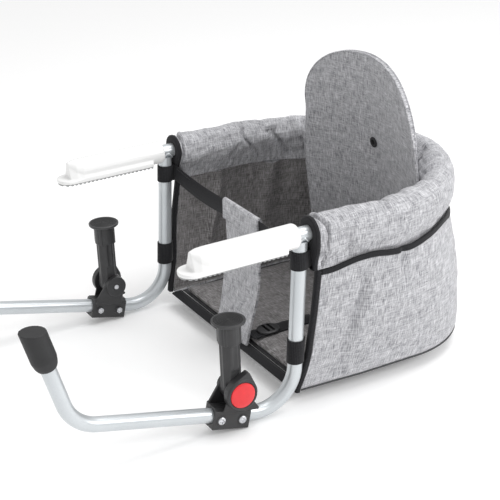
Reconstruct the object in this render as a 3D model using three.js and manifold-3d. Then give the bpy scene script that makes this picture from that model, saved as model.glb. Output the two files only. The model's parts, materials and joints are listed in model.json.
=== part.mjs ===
// Hook-on table chair: a bent arm tube hooks over the table top, two lower tubes press up from
// below, a screw jack on each side closes the gap, and a fabric bucket hangs from the arm tube.
// Millimetres. Origin: on the table top's plane, at the table's edge, midway between the arms.
// +X points away from the table, +Z up, and the child's left arm is at -Y.
import * as THREE from 'three';
import { LoftGeometry } from 'three/addons/geometries/LoftGeometry.js';
import { mergeVertices } from 'three/addons/utils/BufferGeometryUtils.js';
import Module from 'manifold-3d';

const wasm = await Module();
wasm.setup();

// Clearances
const fitGap = 0.3;
const dentGap = 0.5;
const gearFitGap = 0.36;
const cutOverrun = 2;
const mergeTolerance = 1e-4;

// Steel tubes
const tubeDiameter = 20;
const tubeWall = 1.2;
const bendRadius = 55;
const armHalfSpacing = 194;
const armHeight = 16.5;
const armReach = 116;
const rimDepth = 328;
const legX = 16.5;
const legLeanDeg = 4.1;
const runDrop = 248.5;
const runRiseDeg = 13.6;
const runLength = 319;
const footLeanDeg = 15;
const footEndZ = -34;
const tubeRadius = tubeDiameter / 2;

// White table grips and their rubber pads
const gripRadius = 17;
const gripBaseHalfWidth = 18.75;
const gripUnderarcDeg = 12;
const gripEndWall = 5;
const gripNoseLength = 20;
const gripBodyReach = armReach + gripEndWall + gripNoseLength;
const gripTipLength = 16;
const gripTipReach = gripBodyReach + gripTipLength;
const gripRearOverhang = 11;
const gripNoseRadius = 4;
const gripNoseDrop = 2.5;
const gripNoseShares = { tipBase: 0.62, middleRadius: 0.78, middleRise: 0.2, middleBase: 0.9 };
const gripRearBevel = 5;
const gripRearBevelShares = { inward: 0.3, along: 0.35 };
const gripBaseThickness = 5;
const padThickness = 2.6;
const padRibHeight = 1.3;
const padRibPitch = 6.4;
const padRibWidth = 3.2;
const padInset = 1.2;

// Rubber foot caps
const footCapRadius = 16.5;
const footCapBottomZ = -70;
const footCapBowl = 14;
const footCapShoulderShare = 0.88;
const footCapTopZ = -18;

// Clamp block on the lower tube
const clampX = -91;
const clampPivotHeight = 36.5;
const clampPivotBack = 3;
const blockLength = 54;
const blockHalfWidth = 13;
const blockBelow = 15.5;
const blockShoulder = 9.5;
const blockTop = 13.5;
const blockTopHalfWidth = 7.5;
const earInnerFace = 12;
const earOuterFace = 24;
const earWall = 3;
const earApexBack = 3;
const earApexRise = 28;
const earApexRadius = 3;
const earTailBack = 34;
const earTailHeight = 14;
const earTailRadius = 2;
const earLip = 2;
const earLipWall = 3;
const earInnerThickness = 8;
const buttonRadius = 17.5;
const buttonRingWall = 4.2;
const innerEarRadius = 15.5;
const cradleWall = 4;
const cradleRise = 15;
const cradleDip = 12;
const columnForward = 4;
const screwEndMargin = 11.5;
const screwSpacing = blockLength - 2 * screwEndMargin;
const screwOffset = -2.6;
const screwRadius = 2.5;
const screwHeadRadius = 5.5;
const screwHeadHeight = 2.4;
const screwHeadShares = { rim: 0.94, face: 0.6 };
const screwSlotWidth = 1;
const nutRadius = 4.6;
const nutHeight = 4;

// Folding column and screw jack
const columnRadius = 13.5;
const fluteCount = 8;
const fluteDepth = 1.3;
const knuckleRadius = 16;
const columnTopZ = -105.5;
const neckRadius = 11;
const neckHeight = 18;
const collarRadius = 15;
const collarHeight = 26.5;
const collarRibCount = 4;
const collarRibHeight = 1.2;
const collarRibWidth = 3.5;
const spindleRadius = 8;
const spindleFlatHalf = 6.4;
const spindleLength = 70;
const discRadius = 22.2;
const discThickness = 5;
const discUndersideShares = { radius: 0.86, rise: 0.35 };
const discTopZ = -73;
const discRimWidth = 3;
const discPadThickness = 2.4;
const discStudRadius = 5;
const pinRadius = 3.5;

// Release button and lock gear
const buttonProud = 2;
const buttonDomeShares = [[0.96, 0], [0.8, 0.6], [0.45, 0.93]];
const buttonStemRadius = 5.5;
const buttonTravel = 4;
const buttonFloorGap = 4.6;
const gearRadius = 9;
const gearLobes = 6;
const gearLobeDepth = 1.6;
const gearThickness = 6;
const gearInEar = 2.6;
const springRadius = 6;
const springWire = 1.2;
const springTurns = 5;
const springFloorY = -4;

// Fabric bucket
const sleeveRadius = 21;
const sleeveFrontX = 34;
const sleeveEndThickness = 6;
const sleeveSkirtDrop = 50;
const sleeveGatherShare = 0.035;
const bucketFloorZ = -211;
const bucketTopZ = -34.2;
const bucketTopOffset = 11.5;
const bucketBottomSpread = 1;
const bucketBottomHalfWidth = armHalfSpacing + bucketBottomSpread;
const bucketBottomSetback = 2;
const bucketBottomDepth = rimDepth + bucketBottomSetback;
const bucketBottomCorner = 130;
const wallThickness = 4;
const wallSeamInset = 5.2;
const wallBulge = 6.5;
const frontTuck = 4;
const frontTuckLength = 70;
const foldDepth = 4;
const foldWidth = 26;
const foldTopX = 128;
const foldBottomX = 52;
const wallTurnUnder = 12;
const floorThickness = 4;
const frontTopX = 41;
const frontBottomSetback = 38;
const frontCurve = 1.6;
const bindingWidth = 7;
const bindingOverlap = 1;
const pocketThickness = 2.2;
const pocketMouthGap = 3;
const pocketOpenShare = 0.625;
const pocketTopZ = -33;
const pocketSag = 22;
const pocketBindingHeight = 6.5;
const pocketBindingThickness = 3.4;
const floorBandWidth = 18;

// Seat board, backrest, straps and harness
const seatBoardThickness = 12;
const seatBoardCrown = 4;
const seatBoardFrontX = 24;
const seatBoardRearGap = 36;
const seatBoardRearX = rimDepth - seatBoardRearGap;
const seatBoardSideGap = 34;
const seatBoardHalfWidth = armHalfSpacing - seatBoardSideGap;
const seatBoardCorner = 110;
const backrestSideGap = 53;
const backrestHalfWidth = armHalfSpacing - backrestSideGap;
const backrestPastBend = 106;
const backrestEdgeX = rimDepth - armHalfSpacing + backrestPastBend;
const backrestBow = 29;
const backrestBowPower = 1.6;
const backrestShoulderZ = 62;
const backrestRise = 110;
const backrestTopPower = 2.3;
const backrestLeanDeg = 5.5;
const backrestThickness = 8;
const backrestEdgeThickness = 4;
const backrestCorner = 40;
const backrestCornerShare = 0.5;
const eyeletZ = 36;
const eyeletRadius = 8;
const eyeletBore = 4;
const eyeletFlange = 1.6;
const webbingWidth = 25;
const webbingThickness = 2;
const strapLegZ = -17;
const strapCentreX = 38;
const strapCentreZ = -32;
const tubeStrapHeight = 33;
const tubeStrapZ = -145;
const tubeStrapThickness = 1.6;
const crotchTopWidth = 98;
const crotchThickness = 4;
const crotchFold = 3;
const crotchBelly = 7.4;
const crotchBellyShare = 0.55;
const harnessY = -44;
const harnessLength = 104;
const adjusterLength = 34;
const adjusterWidth = 30;
const adjusterThickness = 4;
const adjusterSlot = 4;
const adjusterSlotLength = 21.6;
const adjusterX = 32;

// Facet counts
const tubeSides = 14;
const boreSides = 16;
const roundSides = 24;
const smallSides = 12;
const bendSteps = 6;
const rimBendSteps = 10;

// Finishes
const finish = (color, roughness, metalness) => {
  return new THREE.MeshStandardMaterial({ color, roughness, metalness });
};
const silverPaint = finish(0xc3c7cb, 0.35, 0.55);
const whiteGloss = finish(0xf4f4f2, 0.25, 0);
const padRubber = finish(0xb9bbbd, 0.8, 0);
const blackRubber = finish(0x1d1d1f, 0.8, 0);
const blackPlastic = finish(0x2c2c2e, 0.5, 0);
const redPlastic = finish(0xd81f2c, 0.3, 0);
const zincSteel = finish(0xc9ccd1, 0.3, 0.9);
const melangeFabric = finish(0xa7a9ad, 0.9, 0);
const darkFabric = finish(0x4b4a4d, 0.9, 0);
const blackWebbing = finish(0x222224, 0.85, 0);

const part = new THREE.Group();
const point = (x, y, z) => new THREE.Vector3(x, y, z);
const xAxis = point(1, 0, 0);
const yAxis = point(0, 1, 0);
const zAxis = point(0, 0, 1);
const lerp = THREE.MathUtils.lerp;
const radians = THREE.MathUtils.degToRad;

// Turns a closed three.js geometry into a solid that faces outwards
function solid(geometry) {
  const bare = new THREE.BufferGeometry();
  bare.setAttribute('position', geometry.attributes.position);
  bare.setIndex(geometry.index);
  const merged = mergeVertices(bare, mergeTolerance);
  const vertProperties = Float32Array.from(merged.attributes.position.array);
  const triVerts = Uint32Array.from(merged.index.array);
  if (signedVolume(vertProperties, triVerts) < 0) {
    flipFaces(triVerts);
  }
  return new wasm.Manifold(new wasm.Mesh({ numProp: 3, vertProperties, triVerts }));
}

function signedVolume(positions, faces) {
  const corner = (index) => new THREE.Vector3().fromArray(positions, faces[index] * 3);
  let volume = 0;
  for (let i = 0; i < faces.length; i += 3) {
    volume += corner(i).dot(corner(i + 1).cross(corner(i + 2)));
  }
  return volume;
}

function flipFaces(faces) {
  for (let i = 0; i < faces.length; i += 3) {
    const first = faces[i];
    faces[i] = faces[i + 1];
    faces[i + 1] = first;
  }
}

// A closed body through a row of outlines, with both ends capped
function loft(rings) {
  const areaNormal = new THREE.Vector3();
  rings[0].forEach((corner, i) => {
    areaNormal.add(corner.clone().cross(rings[0][(i + 1) % rings[0].length]));
  });
  const ahead = rings[1][0].clone().sub(rings[0][0]);
  const ordered = areaNormal.dot(ahead) < 0 ? rings.map((ring) => [...ring].reverse()) : rings;
  return solid(new LoftGeometry(ordered, { capStart: true, capEnd: true }));
}

// Adds one piece to the part as a named mesh
function addPiece(name, body, material) {
  const mesh = body.getMesh();
  const geometry = new THREE.BufferGeometry();
  geometry.setAttribute('position', new THREE.BufferAttribute(Float32Array.from(mesh.vertProperties), 3));
  geometry.setIndex(new THREE.BufferAttribute(Uint32Array.from(mesh.triVerts), 1));
  geometry.computeVertexNormals();
  const piece = new THREE.Mesh(geometry, material);
  piece.name = name;
  part.add(piece);
}

// Adds a piece drawn on the left side, and its mirror image on the right side
function addPair(name, leftBody, material) {
  addPiece(`${name}_left`, leftBody, material);
  addPiece(`${name}_right`, leftBody.mirror([0, 1, 0]), material);
}

// A round rod between two points
function rod(from, to, radius, sides, endRadius = radius) {
  const length = from.distanceTo(to);
  const geometry = new THREE.CylinderGeometry(endRadius, radius, length, sides);
  const direction = to.clone().sub(from).normalize();
  geometry.applyQuaternion(new THREE.Quaternion().setFromUnitVectors(yAxis, direction));
  const middle = from.clone().lerp(to, 0.5);
  geometry.translate(middle.x, middle.y, middle.z);
  return solid(geometry);
}

// A round hole whose flats keep the full radius clear
function bore(from, to, radius) {
  return rod(from, to, radius / Math.cos(Math.PI / boreSides), boreSides);
}

function box(low, high) {
  const size = high.clone().sub(low);
  const middle = low.clone().lerp(high, 0.5);
  return solid(new THREE.BoxGeometry(size.x, size.y, size.z).translate(middle.x, middle.y, middle.z));
}

// A flat outline, extruded along the third axis of its plane
function plate(outline, thickness, curveSegments = smallSides) {
  const shape = outline instanceof THREE.Shape ? outline : new THREE.Shape(outline);
  return new THREE.ExtrudeGeometry(shape, { depth: thickness, bevelEnabled: false, curveSegments });
}

// Lays a plate drawn in X and Z so that its thickness runs along Y, from yLow
function standUp(geometry, yLow, thickness) {
  const turn = new THREE.Matrix4().makeBasis(xAxis, zAxis, yAxis.clone().negate());
  return geometry.applyMatrix4(turn).translate(0, yLow + thickness, 0);
}

function circlePoints(radius, sides) {
  return Array.from({ length: sides }, (_, i) => {
    const angle = (i / sides) * 2 * Math.PI;
    return new THREE.Vector2(Math.cos(angle) * radius, Math.sin(angle) * radius);
  });
}

// A path of straight lines and arcs that is cut only where it starts, bends and ends
class BentPath extends THREE.Curve {
  constructor(corners, radius, stepsPerBend) {
    super();
    this.stations = [];
    this.addStation(corners[0], corners[1].clone().sub(corners[0]).normalize());
    for (let i = 1; i < corners.length - 1; i++) {
      this.addBend(corners[i - 1], corners[i], corners[i + 1], radius, stepsPerBend);
    }
    const last = corners[corners.length - 1];
    this.addStation(last, last.clone().sub(corners[corners.length - 2]).normalize());
  }

  addStation(position, tangent) {
    const previous = this.stations[this.stations.length - 1];
    if (previous === undefined || previous.position.distanceTo(position) > mergeTolerance) {
      this.stations.push({ position: position.clone(), tangent: tangent.clone() });
    }
  }

  addBend(before, corner, after, radius, steps) {
    const inward = corner.clone().sub(before).normalize();
    const outward = after.clone().sub(corner).normalize();
    const turn = inward.angleTo(outward);
    const axis = inward.clone().cross(outward).normalize();
    const start = corner.clone().addScaledVector(inward, -radius * Math.tan(turn / 2));
    const centre = start.clone().addScaledVector(axis.clone().cross(inward), radius);
    for (let k = 0; k <= steps; k++) {
      const angle = (turn * k) / steps;
      const arm = start.clone().sub(centre).applyAxisAngle(axis, angle);
      this.addStation(centre.clone().add(arm), inward.clone().applyAxisAngle(axis, angle));
    }
  }

  get steps() {
    return this.stations.length - 1;
  }

  getUtoTmapping(u) {
    return u;
  }

  getPoint(t, target = new THREE.Vector3()) {
    return target.copy(this.stations[Math.round(t * this.steps)].position);
  }

  getTangent(t, target = new THREE.Vector3()) {
    return target.copy(this.stations[Math.round(t * this.steps)].tangent);
  }
}

// A hollow or solid round tube along a bent path
function tubeAlong(path, radius, innerRadius = 0) {
  const section = new THREE.Shape(circlePoints(radius, tubeSides));
  if (innerRadius > 0) {
    section.holes.push(new THREE.Path(circlePoints(innerRadius, tubeSides)));
  }
  const settings = { steps: path.steps, extrudePath: path, bevelEnabled: false };
  return solid(new THREE.ExtrudeGeometry(section, settings));
}

// Arm tube
const rimPath = (reach) => new BentPath([
  point(-reach, armHalfSpacing, armHeight),
  point(rimDepth, armHalfSpacing, armHeight),
  point(rimDepth, -armHalfSpacing, armHeight),
  point(-reach, -armHalfSpacing, armHeight),
], armHalfSpacing, rimBendSteps);
addPiece('rim_tube', tubeAlong(rimPath(armReach), tubeRadius, tubeRadius - tubeWall), silverPaint);

// Lower tubes: a leg under the arm, a run that climbs to the front and a foot turned up to the table
const legLean = radians(legLeanDeg);
const runRise = radians(runRiseDeg);
const footLean = radians(footLeanDeg);
const legTop = point(legX, -armHalfSpacing, armHeight);
const runRear = point(legX - runDrop * Math.tan(legLean), -armHalfSpacing, armHeight - runDrop);
const runDirection = point(-Math.cos(runRise), 0, Math.sin(runRise));
const runFront = runRear.clone().addScaledVector(runDirection, runLength);
const footDirection = point(-Math.sin(footLean), 0, Math.cos(footLean));
const footAt = (z) => runFront.clone().addScaledVector(footDirection, (z - runFront.z) / footDirection.z);
const footEnd = footAt(footEndZ);
const lowerPath = new BentPath([legTop, runRear, runFront, footEnd], bendRadius, bendSteps);

// The clamp stands square on the run, with the column's pivot above it
const clampUp = point(Math.sin(runRise), 0, Math.cos(runRise));
const runAt = (x) => runRear.clone().addScaledVector(runDirection, (runRear.x - x) / Math.cos(runRise));
const clampSeat = runAt(clampX - clampPivotHeight * clampUp.x);
const pivot = clampSeat.clone().addScaledVector(clampUp, clampPivotHeight)
  .addScaledVector(runDirection, -clampPivotBack);
const outward = yAxis.clone().negate();
const clampFrame = new THREE.Matrix4().makeBasis(runDirection, outward, clampUp).setPosition(clampSeat);
const inClamp = (body) => body.transform(clampFrame.elements);
const screwAlong = [-screwSpacing / 2, screwSpacing / 2];

const armCope = bore(
  point(legX - sleeveFrontX, -armHalfSpacing, armHeight),
  point(legX + sleeveFrontX, -armHalfSpacing, armHeight),
  tubeRadius + fitGap,
);
const screwHole = (along) => inClamp(bore(
  point(along, -blockHalfWidth, screwOffset),
  point(along, blockHalfWidth, screwOffset),
  screwRadius + fitGap,
));
let lowerTube = tubeAlong(lowerPath, tubeRadius, tubeRadius - tubeWall).subtract(armCope);
for (const along of screwAlong) {
  lowerTube = lowerTube.subtract(screwHole(along));
}
addPair('lower_tube', lowerTube, silverPaint);

// Table grips: an arched body on a flat base with a rounded tip, closed round the tube's end
const gripBaseBottom = padThickness;
function gripRing(x, radius, centreZ, baseHalf) {
  const arcStart = radians(-gripUnderarcDeg);
  const arcEnd = Math.PI - arcStart;
  const arcSteps = 12;
  const ring = [point(x, -baseHalf, gripBaseBottom), point(x, baseHalf, gripBaseBottom)];
  ring.push(point(x, baseHalf, gripBaseBottom + gripBaseThickness));
  for (let i = 0; i <= arcSteps; i++) {
    const angle = lerp(arcStart, arcEnd, i / arcSteps);
    ring.push(point(x, Math.cos(angle) * radius, centreZ + Math.sin(angle) * radius));
  }
  ring.push(point(x, -baseHalf, gripBaseBottom + gripBaseThickness));
  return ring;
}
function tipOutline(inset, rearX) {
  const half = gripBaseHalfWidth - inset;
  const shape = new THREE.Shape();
  shape.moveTo(rearX, -half);
  shape.lineTo(rearX, half);
  shape.lineTo(-gripTipReach + gripBaseHalfWidth, half);
  shape.absarc(-gripTipReach + gripBaseHalfWidth, 0, half, Math.PI / 2, 1.5 * Math.PI, false);
  return shape;
}
const noseTopZ = armHeight + gripRadius - gripNoseDrop;
const gripBodySections = [
  gripRing(
    -gripBodyReach,
    gripNoseRadius,
    noseTopZ - gripNoseRadius,
    gripBaseHalfWidth * gripNoseShares.tipBase,
  ),
  gripRing(
    -gripBodyReach + gripNoseLength / 2,
    gripRadius * gripNoseShares.middleRadius,
    armHeight + gripRadius * gripNoseShares.middleRise,
    gripBaseHalfWidth * gripNoseShares.middleBase,
  ),
  gripRing(-gripBodyReach + gripNoseLength, gripRadius, armHeight, gripBaseHalfWidth),
  gripRing(-gripRearOverhang, gripRadius, armHeight, gripBaseHalfWidth),
];
const gripRearProfile = [
  new THREE.Vector2(0, -gripRearOverhang * 2),
  new THREE.Vector2(gripRadius, -gripRearOverhang * 2),
  new THREE.Vector2(gripRadius, gripRearOverhang - gripRearBevel),
  new THREE.Vector2(
    gripRadius - gripRearBevel * gripRearBevelShares.inward,
    gripRearOverhang - gripRearBevel * gripRearBevelShares.along,
  ),
  new THREE.Vector2(gripRadius - gripRearBevel, gripRearOverhang),
  new THREE.Vector2(0, gripRearOverhang),
];
const gripRear = new THREE.LatheGeometry(gripRearProfile, roundSides)
  .applyQuaternion(new THREE.Quaternion().setFromUnitVectors(yAxis, xAxis))
  .translate(0, 0, armHeight);
const gripTip = plate(tipOutline(0, -gripRearOverhang), gripBaseThickness).translate(0, 0, gripBaseBottom);
const gripBore = bore(
  point(-armReach - fitGap, 0, armHeight),
  point(gripRearOverhang + cutOverrun, 0, armHeight),
  tubeRadius + fitGap,
);
const legClearance = bore(
  point(legX, 0, armHeight),
  point(legX - armHeight * Math.tan(legLean), 0, 0),
  tubeRadius + fitGap,
);
const grip = loft(gripBodySections)
  .add(solid(gripRear))
  .add(solid(gripTip))
  .subtract(gripBore)
  .subtract(legClearance)
  .trimByPlane([0, 0, 1], gripBaseBottom)
  .translate([0, -armHalfSpacing, 0]);
addPair('table_grip', grip, whiteGloss);

// Ribbed rubber pads under the grips
function ribbedProfile() {
  const start = -gripTipReach + padInset;
  const end = -gripRearOverhang - padInset;
  const ribCount = Math.floor((end - start) / padRibPitch);
  const outline = [
    new THREE.Vector2(end, padThickness - fitGap),
    new THREE.Vector2(start, padThickness - fitGap),
  ];
  for (let i = 0; i <= ribCount; i++) {
    const ribX = start + i * padRibPitch;
    const ribEnd = Math.min(ribX + padRibWidth, end);
    outline.push(new THREE.Vector2(ribX, 0), new THREE.Vector2(ribEnd, 0));
    if (i < ribCount) {
      outline.push(new THREE.Vector2(ribEnd, padRibHeight));
      outline.push(new THREE.Vector2(ribX + padRibPitch, padRibHeight));
    }
  }
  outline.push(new THREE.Vector2(end, 0));
  return outline;
}
const padWidth = 2 * (gripBaseHalfWidth - padInset);
const padOutline = solid(plate(tipOutline(padInset, -gripRearOverhang), padThickness));
const gripPad = solid(standUp(plate(ribbedProfile(), padWidth), -padWidth / 2, padWidth))
  .intersect(padOutline)
  .translate([0, -armHalfSpacing, 0]);
addPair('grip_pad', gripPad, padRubber);

// Foot caps: a rubber bowl pushed on the foot, its face level with the table top
const footCapStart = footAt(footCapBottomZ);
const footCapRise = footAt(footCapTopZ).distanceTo(footCapStart) + footCapRadius;
const footCapProfile = [
  new THREE.Vector2(0, 0),
  new THREE.Vector2(tubeRadius + cutOverrun, 0),
  new THREE.Vector2(footCapRadius * footCapShoulderShare, footCapBowl / 3),
  new THREE.Vector2(footCapRadius, footCapBowl),
  new THREE.Vector2(footCapRadius, footCapRise),
  new THREE.Vector2(0, footCapRise),
];
const footBore = bore(
  footCapStart.clone().addScaledVector(footDirection, -cutOverrun),
  footEnd.clone().addScaledVector(footDirection, fitGap),
  tubeRadius + fitGap,
);
const footCap = solid(new THREE.LatheGeometry(footCapProfile, roundSides)
  .applyQuaternion(new THREE.Quaternion().setFromUnitVectors(yAxis, footDirection))
  .translate(footCapStart.x, footCapStart.y, footCapStart.z))
  .subtract(footBore)
  .trimByPlane([0, 0, -1], -footCapTopZ);
addPair('foot_cap', footCap, blackRubber);

// Clamp halves: a block split round the tube, with an ear on each half for the column's pivot
function blockHalf(side) {
  const section = new THREE.Shape([
    new THREE.Vector2(side * fitGap / 2, -blockBelow),
    new THREE.Vector2(side * blockHalfWidth, -blockBelow),
    new THREE.Vector2(side * blockHalfWidth, blockShoulder),
    new THREE.Vector2(side * blockTopHalfWidth, blockTop),
    new THREE.Vector2(side * fitGap / 2, blockTop),
  ]);
  const geometry = plate(section, blockLength);
  const turn = new THREE.Matrix4().makeBasis(yAxis, zAxis, xAxis);
  return solid(geometry.applyMatrix4(turn).translate(-blockLength / 2, 0, 0));
}
// The front lip on the inner half, under the folded column
function cradleLip() {
  const section = new THREE.Shape([
    new THREE.Vector2(-blockHalfWidth, blockShoulder),
    new THREE.Vector2(-blockHalfWidth, cradleRise),
    new THREE.Vector2(-blockHalfWidth + cradleWall, cradleRise),
    new THREE.Vector2(-blockTopHalfWidth, cradleDip),
    new THREE.Vector2(-fitGap / 2, cradleDip),
    new THREE.Vector2(-fitGap / 2, blockShoulder),
  ]);
  const turn = new THREE.Matrix4().makeBasis(yAxis, zAxis, xAxis);
  return solid(plate(section, cradleWall).applyMatrix4(turn).translate(blockLength / 2 - cradleWall, 0, 0));
}
function earPlate(outline, yLow, thickness) {
  return solid(standUp(plate(outline, thickness, roundSides), yLow, thickness));
}
const ringRadius = buttonRadius + 2 * fitGap + buttonRingWall;
const ringDisc = (radius, yLow, yHigh, sides) => rod(
  point(-clampPivotBack, yLow, clampPivotHeight),
  point(-clampPivotBack, yHigh, clampPivotHeight),
  radius,
  sides,
);
const tubeChannel = bore(
  point(-blockLength, 0, 0),
  point(blockLength, 0, 0),
  tubeRadius + fitGap,
);
const pivotBore = (radius, yLow, yHigh) => bore(
  point(-clampPivotBack, yLow, clampPivotHeight),
  point(-clampPivotBack, yHigh, clampPivotHeight),
  radius,
);
const boltBore = (along, yLow, yHigh) => bore(
  point(along, yLow, screwOffset),
  point(along, yHigh, screwOffset),
  screwRadius + fitGap,
);
const buttonWellFloor = earInnerFace + earWall;
const crossRod = (along, up, yLow, yHigh, radius) => rod(
  point(along, yLow, up),
  point(along, yHigh, up),
  radius,
  smallSides,
);
const outerEarBody = wasm.Manifold.hull([
  ringDisc(ringRadius, earInnerFace, earOuterFace - earLip, roundSides),
  crossRod(
    -clampPivotBack - earApexBack,
    clampPivotHeight + earApexRise,
    earInnerFace,
    earOuterFace - earLip,
    earApexRadius,
  ),
]);
const outerEarTail = wasm.Manifold.hull([
  crossRod(-earTailBack, earTailHeight, earInnerFace, blockHalfWidth + earWall, earTailRadius),
  crossRod(
    ringRadius / 2,
    clampPivotHeight - ringRadius / 2,
    earInnerFace,
    blockHalfWidth + earWall,
    earTailRadius,
  ),
  crossRod(-ringRadius / 2, clampPivotHeight, earInnerFace, blockHalfWidth + earWall, earTailRadius),
  crossRod(blockLength / 4, blockShoulder, earInnerFace, blockHalfWidth, earTailRadius),
]);
let outerHalf = blockHalf(1)
  .add(outerEarBody)
  .add(outerEarTail)
  .add(ringDisc(buttonRadius + 2 * fitGap + earLipWall, earInnerFace, earOuterFace, roundSides))
  .subtract(tubeChannel)
  .subtract(ringDisc(buttonRadius + 2 * fitGap, buttonWellFloor, earOuterFace + cutOverrun, roundSides))
  .subtract(pivotBore(gearRadius + fitGap, earInnerFace - cutOverrun, earInnerFace + gearInEar + fitGap))
  .subtract(pivotBore(buttonStemRadius + fitGap, earInnerFace, earOuterFace));
const innerEarBack = -earInnerFace - earInnerThickness / 2;
const innerEarWeb = wasm.Manifold.hull([
  crossRod(-clampPivotBack, clampPivotHeight, innerEarBack, -earInnerFace, innerEarRadius),
  crossRod(-innerEarRadius, blockShoulder, innerEarBack, -earInnerFace, earTailRadius),
  crossRod(blockLength / 2 - cradleWall, blockShoulder, innerEarBack, -earInnerFace, earTailRadius),
]);
let innerHalf = blockHalf(-1)
  .add(innerEarWeb)
  .add(ringDisc(innerEarRadius, -earInnerFace - earInnerThickness, -earInnerFace, roundSides))
  .add(cradleLip())
  .subtract(tubeChannel)
  .subtract(pivotBore(pinRadius + fitGap, -earInnerFace - earInnerThickness - cutOverrun, 0));
for (const along of screwAlong) {
  outerHalf = outerHalf.subtract(boltBore(along, 0, blockHalfWidth + cutOverrun));
  innerHalf = innerHalf.subtract(boltBore(along, -blockHalfWidth - cutOverrun, 0));
}
addPair('clamp_outer_half', inClamp(outerHalf), blackPlastic);
addPair('clamp_inner_half', inClamp(innerHalf), blackPlastic);

// Clamp bolts through both halves and the tube, with hex nuts on the inner side
const boltNames = ['rear', 'front'];
screwAlong.forEach((along, i) => {
  const headSeat = blockHalfWidth + fitGap;
  const boltEnd = -blockHalfWidth - fitGap - nutHeight;
  const headProfile = [
    new THREE.Vector2(0, boltEnd),
    new THREE.Vector2(screwRadius, boltEnd),
    new THREE.Vector2(screwRadius, headSeat),
    new THREE.Vector2(screwHeadRadius, headSeat),
    new THREE.Vector2(screwHeadRadius * screwHeadShares.rim, headSeat + screwHeadHeight / 2),
    new THREE.Vector2(screwHeadRadius * screwHeadShares.face, headSeat + screwHeadHeight),
    new THREE.Vector2(0, headSeat + screwHeadHeight),
  ];
  const slotHalf = screwHeadRadius * screwHeadShares.face;
  const slot = box(
    point(-slotHalf, headSeat + screwHeadHeight / 2, -screwSlotWidth / 2),
    point(slotHalf, headSeat + screwHeadHeight + cutOverrun, screwSlotWidth / 2),
  );
  const crossSlot = slot.rotate([0, 90, 0]);
  const bolt = solid(new THREE.LatheGeometry(headProfile, smallSides))
    .subtract(slot)
    .subtract(crossSlot)
    .translate([along, 0, screwOffset]);
  addPair(`clamp_bolt_${boltNames[i]}`, inClamp(bolt), zincSteel);
  const hexNut = rod(
    point(along, boltEnd, screwOffset),
    point(along, boltEnd + nutHeight, screwOffset),
    nutRadius,
    6,
  ).subtract(boltBore(along, boltEnd - cutOverrun, 0));
  addPair(`clamp_nut_${boltNames[i]}`, inClamp(hexNut), zincSteel);
});

// Pivot pin from the inner ear through the column's knuckle
const pivotFrame = new THREE.Matrix4().makeBasis(xAxis.clone().negate(), outward, zAxis).setPosition(pivot);
const atPivot = (body) => body.transform(pivotFrame.elements);
const pinEnd = earInnerFace - gearThickness + gearInEar - fitGap;
const pivotPin = rod(
  point(0, -earInnerFace - earInnerThickness, 0),
  point(0, pinEnd - buttonTravel, 0),
  pinRadius,
  smallSides,
);
addPair('pivot_pin', atPivot(pivotPin), zincSteel);

// Lock gear: a lobed disc that slides in the knuckle's lobed pocket
function lobedShape(radius, depth) {
  const steps = gearLobes * 4;
  const outline = Array.from({ length: steps }, (_, i) => {
    const angle = (i / steps) * 2 * Math.PI;
    const reach = radius - depth * (0.5 - 0.5 * Math.cos(gearLobes * angle));
    return new THREE.Vector2(Math.cos(angle) * reach, Math.sin(angle) * reach);
  });
  return new THREE.Shape(outline);
}
const gearLow = earInnerFace + gearInEar - gearThickness;
const gearPocketFloor = gearLow - buttonTravel - fitGap;
const gearPlate = plate(lobedShape(gearRadius, gearLobeDepth), gearThickness);
const lockGear = solid(standUp(gearPlate, gearLow, gearThickness));
addPair('lock_gear', atPivot(lockGear), zincSteel);

// Red release button: a domed cap on a stem that pushes the lock gear
const buttonFace = earOuterFace + buttonProud;
const buttonUnder = buttonWellFloor + buttonFloorGap;
const buttonProfile = [
  new THREE.Vector2(0, gearLow + gearThickness + fitGap),
  new THREE.Vector2(buttonStemRadius, gearLow + gearThickness + fitGap),
  new THREE.Vector2(buttonStemRadius, buttonUnder),
  new THREE.Vector2(buttonRadius, buttonUnder),
  new THREE.Vector2(buttonRadius, earOuterFace - buttonProud / 2),
  ...buttonDomeShares.map(([radiusShare, riseShare]) => {
    return new THREE.Vector2(buttonRadius * radiusShare, lerp(earOuterFace, buttonFace, riseShare));
  }),
  new THREE.Vector2(0, buttonFace),
];
addPair('release_button', atPivot(solid(new THREE.LatheGeometry(buttonProfile, roundSides))), redPlastic);

// Button spring: a coil between the knuckle's floor and the lock gear
function coilSection(angle, along) {
  const sides = 5;
  return Array.from({ length: sides }, (_, i) => {
    const around = (i / sides) * 2 * Math.PI;
    const reach = springRadius + (Math.cos(around) * springWire) / 2;
    const lift = along + (Math.sin(around) * springWire) / 2;
    return point(Math.cos(angle) * reach, lift, Math.sin(angle) * reach);
  });
}
const coilStart = springFloorY + fitGap + springWire / 2;
const coilEnd = gearLow - fitGap - springWire / 2;
const coilPitch = (coilEnd - coilStart) / springTurns;
const coilSteps = springTurns * 8;
const coilRings = Array.from({ length: coilSteps + 1 }, (_, i) => {
  const turns = (i / coilSteps) * springTurns;
  return coilSection(turns * 2 * Math.PI, coilStart + turns * coilPitch);
});
console.log(`button spring: ${(coilPitch - springWire).toFixed(2)} mm between turns`);
const buttonSpring = loft(coilRings);
addPair('button_spring', atPivot(buttonSpring), zincSteel);

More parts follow.
